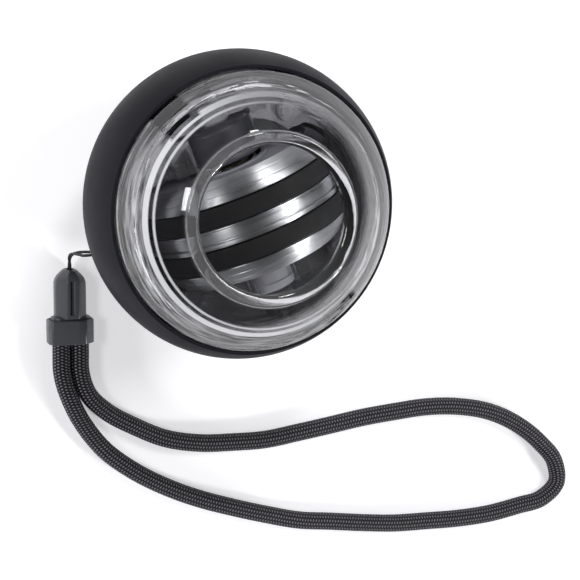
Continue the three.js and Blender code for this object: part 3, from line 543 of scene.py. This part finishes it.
def braided(name, dark, light, roughness, yarns, pitch):
    """Nylon yarn, braided over two and under two, drawn from the cord's own map: how far round and
    how far along. So many yarns wind each way, and the pattern comes again after pitch millimetres.
    The middle of each yarn is coloured lighter, a painted highlight for the sheen that it catches,
    with a random fibre grain, most in columns along the cord."""
    material, shader = finish(
        name, Roughness=roughness, IOR=1.53, Specular_IOR_Level=0.25, Sheen_Weight=0.04,
        Sheen_Roughness=0.4, Sheen_Tint=linear("#8c8a92"))
    place = add(material, "UVMap", {"uv_map": "strand"}).outputs["UV"]
    parts = add(material, "SeparateXYZ", Vector=place).outputs
    turns = times(material, parts["X"], yarns)
    rows = calc(material, "DIVIDE", parts["Y"], pitch)
    left, right = plus(material, turns, rows), calc(material, "SUBTRACT", turns, rows)
    both = plus(material, calc(material, "FLOOR", left), calc(material, "FLOOR", right))
    cycle = calc(material, "FRACT", calc(material, "DIVIDE", both, 4))
    on_top = calc(material, "LESS_THAN", cycle, 0.4)
    left, right = calc(material, "FRACT", left), calc(material, "FRACT", right)
    apart = times(material, on_top, calc(material, "SUBTRACT", left, right))
    across, lengthwise = plus(material, right, apart), calc(material, "SUBTRACT", left, apart)
    hump = calc(material, "SINE", times(material, across, math.pi))
    swell = calc(material, "SINE", times(material, lengthwise, math.pi))
    height = times(material, hump, plus(material, times(material, swell, 0.5), 0.5))
    # Filaments of 0.03 mm, drawn at 0.25 mm so that they show
    wide = add(material, "TexCoord").outputs["Object"]
    fibre = times(material, noise(material, wide, 0.25, 2.0), 2.2)
    column = calc(material, "COSINE", times(material, turns, 2 * math.pi))
    column = calc(material, "POWER", calc(material, "ABSOLUTE", column), 1.5)
    # Painted highlight: the tops of the yarns are coloured lighter, in columns, with a random fibre
    # grain
    painted_yarn_sheen = times(material, calc(material, "POWER", height, 3), fibre, column)
    plug(material, shader, Base_Color=blend(material, painted_yarn_sheen, dark, light))
    emboss(material, shader, height, 0.12)
    return material


soft_touch = coated_shell()
rotor_metal = turned_metal()
# The second colour of each cord is its painted highlight on the yarns' tops
cord_nylon = braided("braided_black_nylon", "#0b0a0c", "#7f7c84", 0.6, 7, 0.65)
string_nylon = braided("fine_braided_black_nylon", "#0a0a0b", "#4a484d", 0.6, 4, 0.4)

# Clear polycarbonate with a faint grey cast in its thick parts, polished for the dome
dome_clear = clear_plastic("polished_clear_polycarbonate", "#cacacc", "#e4e4e6", 0.02,
                           dome_scatter_and_painted_light, dome_dark)
ring_clear = clear_plastic("moulded_clear_polycarbonate", "#dededf", "#e0e0e3", 0.06, ring_scatter_and_painted_highlight)

# The shell's ABS with a spark-eroded mould finish, for the disc underneath
base_grain = grained("textured_black_abs", "#2a2a2c", 0.6, size=0.45, depth=0.03, IOR=1.5)

# Moulded acetal for the race: black, waxy, smooth
race_black = grained("moulded_black_acetal", "#131316", 0.28, size=3.0, depth=0.002, detail=0.0,
                     IOR=1.48)

# Moulded ABS, satin, for the drum and its lid
satin_black = grained("satin_black_abs", "#3a3a3e", 0.38, size=0.35, depth=0.003,
                      rough=(0.34, 0.42), IOR=1.52)

# Moulded polypropylene for the strap's connector and slider: charcoal, fine spark-eroded grain
charcoal = grained("moulded_charcoal_polypropylene", "#46474b", 0.32, size=0.3, depth=0.01,
                   rough=(0.3, 0.4), IOR=1.49)

# Moulded acetal, waxy grey, for the bearing block
waxy_grey = grained("moulded_dark_grey_acetal", "#88888d", 0.35, size=0.6, depth=0.004, IOR=1.48)

# Moulded grey ABS for the two discs of the rotor
grey_abs = grained("moulded_grey_abs", "#727278", 0.42, size=0.4, depth=0.006, IOR=1.52)

# Black EPDM rubber, cast and ground: dull, dusty, slightly mottled
rubber = grained("ground_epdm_rubber", "#111113", 0.75, size=0.35, depth=0.03,
                 rough=(0.66, 0.84), IOR=1.52, Specular_IOR_Level=0.3)

# Sintered bronze, soaked with oil, for the bushes and the hub: dark, hardly yellow, finely porous
bronze = grained("oiled_sintered_bronze", "#625d56", 0.45, size=0.2, depth=0.01, Metallic=1.0)

# Centreless ground steel for the axle, the pin and the screws
ground_steel = grained("ground_steel", "#bcbdc0", 0.2, size=0.25, depth=0.002,
                       stretch=(3, 1, 1), Metallic=1.0)

# Tempered strip steel for the mainspring: blue-grey, cold rolled
strip_steel = grained("tempered_strip_steel", "#7f858f", 0.3, size=0.5, depth=0.002,
                      stretch=(1, 4, 1), Metallic=1.0)


# Camera: the photograph's viewing point, 580 by 580

camera = placed("camera", bpy.data.cameras.new("camera"))
camera.data.lens = 123.383
camera.data.sensor_width = 36
camera.data.clip_start = 0.01
camera.matrix_world = Matrix((
    (0.34233, -0.90046, -0.26827, -0.088226),
    (0.89079, 0.40187, -0.21216, -0.082561),
    (0.29885, -0.16634, 0.93969, 0.411244),
    (0, 0, 0, 1),
))
bpy.context.scene.camera = camera


# Cords

def on_strap(along, across, height):
    """A place given along and across the connector, as a place in the part's frame."""
    return [
        NOSE[0] + along * math.cos(TURN) - across * math.sin(TURN),
        NOSE[1] + along * math.sin(TURN) + across * math.cos(TURN),
        height,
    ]


def smooth_path(route, spacing):
    """A curve through the route's points, as points that are spacing apart, with their distances
    along it. Between two of the route's points it is a cubic, and at each one it heads the way that
    its two neighbours give, weighted by distance."""
    route = np.asarray(route, float)
    step = np.linalg.norm(np.diff(route, axis=0), axis=1)
    slope = np.diff(route, axis=0) / step[:, None]
    heading = np.empty_like(route)
    heading[0], heading[-1] = slope[0], slope[-1]
    share = (step[:-1] / (step[:-1] + step[1:]))[:, None]
    heading[1:-1] = slope[:-1] * (1 - share) + slope[1:] * share
    t = np.linspace(0, 1, 60, endpoint=False)[None, :, None]
    a, b = route[:-1, None], route[1:, None]
    u, v = heading[:-1, None] * step[:, None, None], heading[1:, None] * step[:, None, None]
    fine = ((2 * t**3 - 3 * t**2 + 1) * a + (t**3 - 2 * t**2 + t) * u
            + (3 * t**2 - 2 * t**3) * b + (t**3 - t**2) * v).reshape(-1, 3)
    fine = np.vstack([fine, route[-1]])
    run = np.concatenate([[0], np.cumsum(np.linalg.norm(np.diff(fine, axis=0), axis=1))])
    count = int(round(run[-1] / spacing)) + 1
    wanted = np.linspace(0, run[-1], count)
    return np.stack([np.interp(wanted, run, fine[:, i]) for i in range(3)], -1), wanted


def tube(path, radius, sides):
    """A round tube along a path, closed at both ends, its section carried without twist."""
    heading = np.gradient(path, axis=0)
    heading /= np.linalg.norm(heading, axis=1, keepdims=True)
    side = np.cross(heading[0], [0.0, 0.0, 1.0])
    sideways = np.empty_like(path)
    for i, ahead in enumerate(heading):
        side = side - ahead * (side @ ahead)
        side = side / np.linalg.norm(side)
        sideways[i] = side
    up = np.cross(sideways, heading)
    angle = (2 * np.pi * np.arange(sides) / sides)[None, :, None]
    outward = np.cos(angle) * sideways[:, None] + np.sin(angle) * up[:, None]
    points, faces = grid(path[:, None] + radius * outward, columns_close=True)
    last = len(points) - sides
    return points, faces + [list(range(sides)), list(range(last, last + sides))[::-1]]


def corded(name, path, run, radius, sides, material, body, nodes):
    """A cord. Its map holds, for each corner, how far round it is, in turns, and how far along, in
    millimetres. Faces that cross the seam get one full turn there in place of zero."""
    points, faces = tube(path, radius, sides)
    mesh = bpy.data.meshes.new(name)
    mesh.from_pydata(points.tolist(), [], faces)
    work = bmesh.new()
    work.from_mesh(mesh)
    bmesh.ops.recalc_face_normals(work, faces=work.faces)
    strand_map = work.loops.layers.uv.new("strand")
    for face in work.faces:
        columns = [corner.vert.index % sides for corner in face.loops]
        seam = len(columns) == 4 and max(columns) - min(columns) > 1
        for corner, column in zip(face.loops, columns):
            column = sides if seam and column == 0 else column
            corner[strand_map].uv = (column / sides, run[corner.vert.index // sides])
    work.to_mesh(mesh)
    work.free()
    return dress(placed(name, mesh), material, body, nodes, 60)


def strand(side):
    """The straight start of one strand, from inside the slider to the end of the slider's travel,
    where it lies against the other strand."""
    return [on_strap(along, side * STRAND_OFFSET, STRAP_HEIGHT) for along in STRAND_STOPS]


cord_path, cord_run = smooth_path(strand(1) + CORD_ROUTE + strand(-1)[::-1], 0.4)
wrist_cord = corded("wrist_cord_braid", cord_path, cord_run, CORD_RADIUS, 48, cord_nylon, "housing",
                    ["wrist_cord"])

bend = np.radians(-90 - 45 * np.arange(5))
round_pin = np.stack([0 * bend, -PIN_REACH - PIN_BEND * np.cos(bend),
                      PIN_HEIGHT + PIN_BEND * np.sin(bend)], -1)
string_path, string_run = smooth_path(
    [on_strap(STRING_END, 0, STRAP_HEIGHT - STRING_OFFSET), *STRING_OUT, *round_pin.tolist(),
     *STRING_BACK, on_strap(STRING_END, 0, STRAP_HEIGHT + STRING_OFFSET)], 0.14)
string_loop = corded("string_loop_braid", string_path, string_run, STRING_RADIUS, 16, string_nylon,
                     "housing", ["string_loop"])


# Strap fittings, drawn along X from the connector's nose, in the strap's own frame

def strap_shape(shape):
    """A shape from the strap's own frame, moved to its place on the floor."""
    return moved(shape, about_z(TURN), (*NOSE, STRAP_HEIGHT))


def connector_body():
    """The connector: one section carried along X, with a wide slope up to a ridge on one side and a
    steeper one on the other. Its width follows the nose's plan, and its height drops a little
    towards both ends, so that its edges are soft."""
    section = eased([
        (3.3, 0.9, 0.3), (1.5, 2.75, 0.3), (-1.1, 2.85, 0.25), (-3.3, 0.7, 0.35),
        (-3.3, -1.45, 0.3), (-1.9, -2.85, 0.3), (1.9, -2.85, 0.3), (3.3, -1.45, 0.3),
    ], steps=3)
    along = np.array([0, 0.12, 0.4, 0.8, 1.2, 1.7, 2.2, 2.7, 3.2, 7.0, 9.9, 10.2, 10.3])
    wide = np.array([0.34, 0.42, 0.52, 0.64, 0.76, 0.87, 0.95, 0.99, 1, 1, 1, 0.985, 0.95])
    tall = np.array([0.66, 0.74, 0.81, 0.87, 0.92, 0.96, 0.985, 1, 1, 1, 1, 0.985, 0.95])
    sections = [np.column_stack([np.full(len(section), x), section * [w, t]])
                for x, w, t in zip(along, wide, tall)]
    return loft(sections)


def rounded_bar(outline, low, high, ease):
    """An outline carried along X, drawn in a little at both ends."""
    near = 0.35 * ease
    stops = [(low, 1 - ease), (low + near, 1 - near), (low + ease, 1),
             (high - ease, 1), (high - near, 1 - near), (high, 1 - ease)]
    widest = np.abs(outline).max()
    sections = []
    for x, share in stops:
        shrink = 1 - (1 - share) / widest
        sections.append(np.column_stack([np.full(len(outline), x), outline * shrink]))
    return loft(sections)


connector = piece(
    "connector_moulding", strap_shape(connector_body()), charcoal, "housing", ["connector"],
    joins=[strap_shape(rounded_bar(stadium(8.4, 4.2), 10.0, 11.5, 0.2))],
    cuts=[
        strap_shape(prism(stadium(2.9, 1.4)[:, ::-1], -1, 2.0, "X")),
        strap_shape(prism([(-0.55, 3.3), (-0.4, 2.3), (-0.1, 2.25), (1.3, 3.3)], 2.2, 9.4, "X")),
    ])
slider_outline = eased([
    (4.9, 0.9, 0.3), (2.9, 2.95, 0.3), (1.4, 3.05, 0.3), (-4.2, 2.3, 0.3), (-4.9, 1.3, 0.3),
    (-4.9, -1.55, 0.3), (-3.4, -3.05, 0.3), (3.4, -3.05, 0.3), (4.9, -1.55, 0.3),
], steps=3)
slider = piece(
    "cord_slider_moulding", strap_shape(rounded_bar(slider_outline, 10.6, 15.8, 0.25)),
    charcoal, "slider", ["cord_slider"],
    cuts=[
        strap_shape(prism(stadium(8.7, 4.5), 10, 18, "X")),
        strap_shape(prism(stadium(9.0, 4.8), 10, 11.8, "X")),
    ])


# Housing, levels measured from the ball's widest circle

def lower_shell():
    """The shell: a sphere outside, an oval above its widest circle, a rounded rim and a smooth bowl
    inside. Ribs carry the race, two lugs hold the dome, and a pocket takes the lanyard."""
    outline = eased([
        (0, -27.6, 0), (9.7, -27.6, 0.15), (9.7, -29.0, 0.2),
        *arc(BALL, BALL, -68.3, 0, 60), *arc(BALL, DOME_TALL, 0.6, 21.5, 20)[:-1],
        (28.87, 10.8, 0.3), (28.6, 11.43, 0.25), (28.1, 11.43, 0.2), (BORE, 11.1, 0.2),
        *arc(BORE, BOWL, 0, -89, 50), (0, -BOWL, 0),
    ])
    level = np.linspace(-1.0, -14.0, 8)
    wall = BORE * np.sqrt(1 - (level / BOWL) ** 2) + 0.8
    rib = prism(np.vstack([[25.0, -1.0], np.column_stack([wall, level])]), -0.7, 0.7, "Y")
    lug = prism(eased([
        (28.3, 6.7, 0), (25.3, 6.7, 0.2), (25.3, 8.1, 0.5), (BORE, 10.98, 0.3), (28.3, 10.98, 0),
    ]), -2.7, 2.7, "Y")
    joins = [moved(rib, about_z((i + 0.5) * 2 * math.pi / RIBS)) for i in range(RIBS)]
    joins += [moved(lug, about_z(math.radians(turn))) for turn in LUGS]
    joins.append(prism(rectangle(-6.3, -15.94, 6.3, -8.06, 0.5), -27.6, -21.9, "Y"))
    mouth = prism(rectangle(-3, -14.4, 3, -9.6, 0.5), -33, -24.1, "Y")
    pin_hole = turned([(0, -4.9), (1.4, -4.9), (1.4, 4.9), (0, 4.9)], 32, "X")
    cuts = [mouth, moved(pin_hole, by=(0, -PIN_REACH, PIN_LEVEL))]
    up = (0, 0, CENTRE)
    return turned(outline, 192, height=CENTRE), each(joins, by=up), each(cuts, by=up)


shell, shell_joins, shell_cuts = lower_shell()
piece("lower_shell_coated", shell, soft_touch, "housing", ["lower_shell"],
      joins=shell_joins, cuts=shell_cuts)

pad = eased([
    (0, -29.4, 0), (6.6, -29.4, 0), (6.8, -29.25, 0.1), (7.0, -29.4, 0), (9.1, -29.4, 0.1),
    (9.4, -29.1, 0.15), (9.4, -28.1, 0.15), (9.1, -27.9, 0.1), (0, -27.9, 0),
])
piece("base_pad_disc", turned(pad, 96, height=CENTRE), base_grain, "housing", ["base_pad"])

track = eased([
    (25.0, -0.7, 0.2), (27.6, -0.7, 0.2), (27.6, 4.4, 0.15), (27.0, 4.4, 0.15), (27.0, 1.3, 0.3),
    (25.0, 1.3, 0.4),
])
piece("race_ring_track", turned(track, 192, height=CENTRE), race_black, "housing", ["race_ring"])


def upper_dome():
    """The dome: a straight skirt, an oval outside, a beaded lip round the opening, and inside an
    oval that meets the skirt in a crease."""
    outer = arc(30.95, 28.35, 26.9, 56.6, 44)
    inner = arc(28.65, 26.05, 57.9, 36.3, 30)
    outline = eased([
        (24.6, 4.7, 0.3), (27.6, 4.7, 0.3), *outer[:-1],
        (17.06, 23.64, 0.2), (16.92, 24.3, 0.4), (15.9, 24.48, 0.5), (15.0, 24.4, 0.3),
        (14.5, 24.0, 0.3), (14.5, 22.6, 0.3), *inner,
        (23.1, 15.4, 0.35), (24.6, 12.0, 0.6),
    ])
    window = prism(rectangle(-3, 6.4, 3, 11.28, 0.3), 23, 29, "X", height=CENTRE)
    cuts = [moved(window, about_z(math.radians(turn))) for turn in LUGS]
    return turned(outline, 192, height=CENTRE), cuts


dome, dome_cuts = upper_dome()
piece("upper_dome_clear", dome, dome_clear, "housing", ["upper_dome"], cuts=dome_cuts,
      sharp=40)

pin = eased([(0, -4.6, 0), (1.1, -4.6, 0.2), (1.1, 4.6, 0.2), (0, 4.6, 0)])
piece("lanyard_pin_ground", moved(turned(pin, 32, "X"), by=(0, -PIN_REACH, PIN_HEIGHT)),
      ground_steel, "housing", ["lanyard_pin"])


# Carrier ring and what it carries, drawn with the drum on +X and z = 0 on the axle line

def carried(shape):
    """A shape from the ring's own frame, turned so that the drum is on -X, at the axle's height."""
    return moved(shape, HALF_TURN, (0, 0, AXLE))


def span(side, start, stop):
    """Two places along X on one side, the lower one first."""
    return sorted((side * start, side * stop))


def ring_half(heads_here):
    """One half of the carrier ring above the axle line: a plate with a wall round its window,
    cheeks that hold the drum and the bearing block, pods for the bushes and bosses for the screws.
    The screws' heads sink into one of the two halves."""
    plate = turned(eased([(0, 0.15, 0), (26.6, 0.15, 0.15), (26.6, 1.4, 0.4), (0, 1.4, 0)]), 160)
    wall = turned(eased([(22.3, 0.3, 0), (23.9, 0.3, 0), (23.9, 4.0, 0.4), (22.3, 4.0, 0.4)]), 160)
    joins = [wall]
    window = [(WINDOW, 17.9, 1), (7.75, 21.1, 1), (-7.75, 21.1, 1), (-WINDOW, 17.9, 1)]
    window += [(-x, -y, ease) for x, y, ease in window]
    cuts = [prism(eased(window), -1, 5)]
    pod = np.maximum(circle(3.9, 48), [-9, 0.15])
    for side, radius, near, tall in ((1, 7.8, 6.5, 5.4), (-1, 5.2, 3.9, 4.9)):
        for across in (1, -1):
            y = span(across, near, near + 4.7)
            cheek = eased([(y[0], 0.3, 0), (y[1], 0.3, 0), (y[1], tall, 0.6), (y[0], tall, 0.4)])
            joins.append(prism(cheek, *span(side, WINDOW, 17.3), "X"))
        joins.append(prism(pod, *span(side, 18.0, 23.2), "X"))
        for reach, start, stop in (
            (radius + 0.3, 9.1, 17.9), (3.3, 17.5, 19.5), (2.7, 17.5, 22.7), (SHAFT, 17.5, 24.2),
        ):
            cuts.append(prism(circle(reach, 64), *span(side, start, stop), "X"))
        low, high = span(side, 23.0, 28.0)
        cuts.append(box((low, -SHAFT, -1), (high, SHAFT, 5)))
    boss = turned(eased([(0, 0.3, 0), (2.2, 0.3, 0), (2.2, 3.4, 0.3), (0, 3.4, 0)]), 32)
    for x in (SCREWS, -SCREWS):
        for y in (SCREWS, -SCREWS):
            joins.append(moved(boss, by=(x, y, 0)))
            cuts.append(prism(circle(1.1, 24, (x, y)), -1, 4.4 if heads_here else 2.6))
            if heads_here:
                cuts.append(prism(circle(1.9, 32, (x, y)), 2.0, 4.4))
    return plate, joins, cuts


for node, heads_here, matrix in (
    ("ring_upper", False, HALF_TURN), ("ring_lower", True, UPSIDE_DOWN),
):
    plate, joins, cuts = ring_half(heads_here)
    up = (0, 0, AXLE)
    piece(f"{node}_clear", moved(plate, matrix, up), ring_clear, "ring", [node],
          joins=each(joins, matrix, by=up), cuts=each(cuts, matrix, by=up))

screw = eased([
    (0, -3.3, 0), (1.25, -3.3, 0.3), (1.6, -3.0, 0.2), (1.6, -2.3, 0.05), (0.8, -2.3, 0.1),
    (0.8, 1.9, 0.1), (0.4, 2.3, 0.1), (0, 2.3, 0),
])
cross = [box((-0.95, -0.2, -4), (0.95, 0.2, -2.85)), box((-0.2, -0.95, -4), (0.2, 0.95, -2.85))]
for i, (x, y) in enumerate(((1, 1), (-1, 1), (-1, -1), (1, -1))):
    place = (x * SCREWS, y * SCREWS, 0)
    node = f"ring_screw_{i + 1}"
    piece(f"{node}_pan_head", carried(moved(turned(screw, 32), by=place)), ground_steel, "ring",
          [node], cuts=[carried(moved(c, about_z(0.4 + i), place)) for c in cross])

bush = eased([
    (SHAFT, 18.6, 0.12), (3.0, 18.6, 0.12), (3.0, 19.2, 0.12), (2.4, 19.2, 0.05), (2.4, 22.4, 0.15),
    (SHAFT, 22.4, 0.12),
])
for i, side in enumerate((1, -1)):
    node = f"axle_bush_{i + 1}"
    piece(f"{node}_turned", carried(turned(bush * [1, side], 48, "X")), bronze, "ring", [node])

barrel = eased([
    (7.3, 10.4, 0.1), (7.55, 10.4, 0.12), (7.8, 10.75, 0.12), (7.8, 11.5, 0.1), (7.62, 11.7, 0.1),
    (7.62, 12.0, 0.1), (7.8, 12.2, 0.1), (7.8, 16.9, 0.3), (7.2, 17.6, 0.3), (SHAFT, 17.6, 0.1),
    (SHAFT, 16.2, 0.1), (6.95, 16.2, 0.3), (6.95, 11.95, 0.05), (7.3, 11.95, 0.05),
])
piece("spring_barrel_moulding", carried(turned(barrel, 96, "X")), satin_black, "ring",
      ["spring_barrel"])

cover = eased([
    (2.85, 10.75, 0.1), (3.6, 10.75, 0.1), (3.8, 10.95, 0.1), (6.0, 10.95, 0.1), (6.2, 10.75, 0.1),
    (7.0, 10.75, 0.12), (7.0, 11.65, 0.12), (2.85, 11.65, 0.1),
])
piece("barrel_cover_lid", carried(turned(cover, 96, "X")), satin_black, "ring", ["barrel_cover"])


def main_spring():
    """The flat spiral spring: a strip 0.25 mm thick whose radius grows steadily with the angle,
    from the hub's neck to the drum's wall in four and a half turns."""
    count, half = 400, 0.125
    angle = np.linspace(0, 9 * np.pi, count)
    radius = np.linspace(3.03, 6.47, count)
    sections = []
    for out, x in ((half, 12.25), (half, 15.9), (-half, 15.9), (-half, 12.25)):
        sections.append(np.stack([np.full(count, x), (radius + out) * np.cos(angle),
                                  (radius + out) * np.sin(angle)], -1))
    return loft(np.stack(sections, 1))


piece("mainspring_strip", carried(main_spring()), strip_steel, "ring", ["mainspring"])

block = eased([
    (SHAFT, -17.6, 0.1), (4.7, -17.6, 0.15), (5.2, -17.1, 0.15), (5.2, -15.9, 0.1),
    (4.95, -15.7, 0.1), (4.95, -12.3, 0.1), (5.2, -12.1, 0.1), (5.2, -10.9, 0.15),
    (4.7, -10.4, 0.15), (SHAFT, -10.4, 0.1),
])
piece("bearing_block_moulding", carried(turned(block, 64, "X")), waxy_grey, "ring",
      ["bearing_block"])


def winding_hub():
    """The hub: a wheel of twelve saw teeth, whose radius grows by 0.8 mm over each tooth, and a
    plain neck. The axle's bore and the notch for the spring's hook are cut out."""
    teeth = []
    count = 12
    for i in range(count):
        for share, radius in ((0.02, 4.22), (0.5, 4.66), (0.92, 4.98), (0.99, 4.9)):
            angle = 2 * np.pi * (i + share) / count
            teeth.append((radius * math.cos(angle), radius * math.sin(angle)))
    neck = turned(eased([(0, 8.6, 0), (2.55, 8.6, 0), (2.55, 15.9, 0.2), (0, 15.9, 0)]), 48, "X")
    bore = prism(circle(SHAFT, 48), 7, 17, "X")
    hook = box((12.4, -0.4, 1.95), (17, 0.4, 4))
    wheel = prism(teeth, DISC_IN, DISC_OUT, "X")
    return carried(wheel), [carried(neck)], [carried(bore), carried(hook)]


hub, hub_joins, hub_cuts = winding_hub()
piece("winding_hub_turned", hub, bronze, "hub", ["winding_hub"], joins=hub_joins,
      cuts=hub_cuts)


# Rotor

def rotor_body():
    """The rotor: a heavy rim on a thin web. From the middle outwards it has a plain strip, a groove
    for each rubber band, a land and an oval shoulder with two hairline cuts. A witness groove and a
    bright step run beside the middle of the strip."""
    def side(way):
        turn = np.radians(np.linspace(20, 60, 60))
        x = 6.5 + 7.352 * (np.sin(turn) - np.sin(turn[0]))
        radius = 17 + 7.05 * (np.cos(turn) - np.cos(turn[-1]))
        for cut in (7.9, 9.3):
            radius = radius - 0.1 * np.exp(-(((x - cut) / 0.06) ** 2))
        shoulder = np.stack([radius, way * x, 0 * x], -1).tolist()
        return [
            (RIM, way * 1.9, 0.12), (18.7, way * 1.9, 0.15), (18.7, way * 6.3, 0.15),
            (20.1, way * 6.3, 0.12), *shoulder, (16.7, way * 10.35, 0.1), (16.7, way * 8.0, 0.15),
            (13.5, way * 8.0, 0.25), (13.5, way * 4.0, 0.5), (4.0, way * 4.0, 0.5),
            (4.0, way * 8.0, 0.25), (SHAFT, way * 8.0, 0.12),
        ]
    groove = [(RIM, 0.46, 0.06), (19.8, 0.62, 0.08), (19.8, 0.9, 0.08), (RIM, 1.06, 0.06)]
    line = [(RIM, -1.42, 0.05), (20.18, -1.47, 0.02), (20.18, -1.55, 0.02), (RIM, -1.6, 0.05)]
    outline = [*side(1)[::-1], *groove[::-1], *line, *side(-1)]
    return turned(eased(outline), 256, "X", height=AXLE)


piece("rotor_body_turned", rotor_body(), rotor_metal, "rotor", ["rotor_body"],
      sharp=28)

for i, side in enumerate((-1, 1)):
    band = eased([
        (19.0, side * 2.2, 0.15), (20.5, side * 2.2, 0.3), (20.5, side * 6.0, 0.3),
        (19.0, side * 6.0, 0.15),
    ])
    node = f"grip_band_{i + 1}"
    piece(f"{node}_rubber", turned(band, 192, "X", height=AXLE), rubber, "rotor", [node])

half = [(1.2, 26.35, 0.1), (0.9, 26.7, 0.12), (0.35, 26.7, 0.05), (0.25, 26.45, 0.05), (0, 26.3, 0)]
axle = eased([(r, -x, e) for r, x, e in half[::-1]] + half)
piece("axle_ground", turned(axle, 48, "X", height=AXLE), ground_steel, "rotor", ["axle"])

# The two discs' outer edge, a rim that stands round a shallow face
disc_rim = [
    (16.4, DISC_IN, 0.15), (16.4, DISC_OUT, 0.2), (15.2, DISC_OUT, 0.15), (15.0, 9.2, 0.15),
]
disc = eased([
    (SHAFT, DISC_IN, 0.1), *disc_rim, (6.4, 9.2, 0.15), (6.2, 9.45, 0.15), (SHAFT, 9.45, 0.15),
])
piece("end_disc_moulding", turned(disc, 128, "X", height=AXLE), grey_abs, "rotor", ["end_disc"])


def clutch_disc():
    """The disc on the self-start side. Three sprung arms sweep in from its hole through 62 degrees:
    their radius falls with the square root of the sweep, from the hole's edge to the teeth."""
    face = turned(eased([
        (7.4, DISC_IN, 0.1), *disc_rim, (8.6, 9.2, 0.15), (8.4, DISC_OUT, 0.15),
        (7.4, DISC_OUT, 0.1),
    ]), 128, "X")
    arms = []
    count, half = 3, 0.27
    share = np.linspace(0, 1, 24)
    middle = 7.8 + (5.575 - 7.8) * np.sqrt(share)
    for n in range(count):
        angle = 2 * np.pi * n / count + math.radians(62) * share
        way = np.stack([np.cos(angle), np.sin(angle)], -1)
        edge = np.vstack([way * (middle + half)[:, None], (way * (middle - half)[:, None])[::-1]])
        arms.append(carried(prism(edge, 8.35, 9.45, "X")))
    return carried(face), arms


clutch, clutch_arms = clutch_disc()
piece("clutch_disc_moulding", clutch, grey_abs, "rotor", ["clutch_disc"],
      joins=clutch_arms)


# Floor and light

def plain_floor():
    """White card. It takes the object's shadow, and what the camera, glass and gloss see of it is
    lifted towards white."""
    material = blank("white_card")
    card = add(material, "BsdfDiffuse", Color=linear("#f4f4f6")).outputs["BSDF"]
    glow = add(material, "Emission", Color=linear("#fdfcff"), Strength=0.36).outputs["Emission"]
    both = add(material, "AddShader", n0=card, n1=glow).outputs["Shader"]
    path = add(material, "LightPath").outputs
    seen = calc(material, "MAXIMUM", path["Is Camera Ray"], path["Is Glossy Ray"])
    seen = calc(material, "MAXIMUM", seen, path["Is Transmission Ray"])
    add(material, "OutputMaterial", Surface=overlay(material, seen, card, both))
    half, level = 2, -0.0001
    corners = [(x * half, y * half, level) for x, y in ((-1, -1), (1, -1), (1, 1), (-1, 1))]
    mesh = bpy.data.meshes.new("floor")
    mesh.from_pydata(corners, [], [(0, 1, 2, 3)])
    mesh.materials.append(material)
    placed("floor", mesh)


def lamp(name, place, size, watts, through_glass=True, in_gloss=True):
    """A soft rectangular lamp at a place in metres, turned towards the ball. It may be left out of
    what is seen through clear plastic, and of reflections."""
    light = bpy.data.lights.new(name, "AREA")
    light.shape = "RECTANGLE"
    light.size, light.size_y = size
    light.energy = watts
    obj = placed(name, light)
    away = Vector(place) - Vector((0.0, 0.0, 0.03))
    obj.matrix_world = Matrix.Translation(place) @ away.to_track_quat("Z", "Y").to_matrix().to_4x4()
    obj.visible_transmission = through_glass
    obj.visible_glossy = in_gloss


plain_floor()
lamp("key_soft_box", (-0.06, 0.46, 0.6), (0.24, 0.24), 1.9, through_glass=False)
lamp("upper_soft_box", (-0.49, 0.29, 0.52), (0.14, 0.14), 2.0)
lamp("lower_soft_box", (0.56, 0.36, 0.33), (0.1, 0.1), 2.4)
lamp("left_soft_box", (-0.28, -0.45, 0.56), (0.2, 0.14), 1.2)
lamp("low_left_soft_box", (-0.05, -0.6, 0.16), (0.4, 0.12), 3.6, through_glass=False,
     in_gloss=False)

world = bpy.data.worlds.new("studio")
world.use_nodes = True
sky = world.node_tree.nodes["Background"].inputs
sky["Color"].default_value = linear("#f0f1f5")
sky["Strength"].default_value = 0.08
bpy.context.scene.world = world
bpy.context.scene.view_settings.view_transform = "Standard"
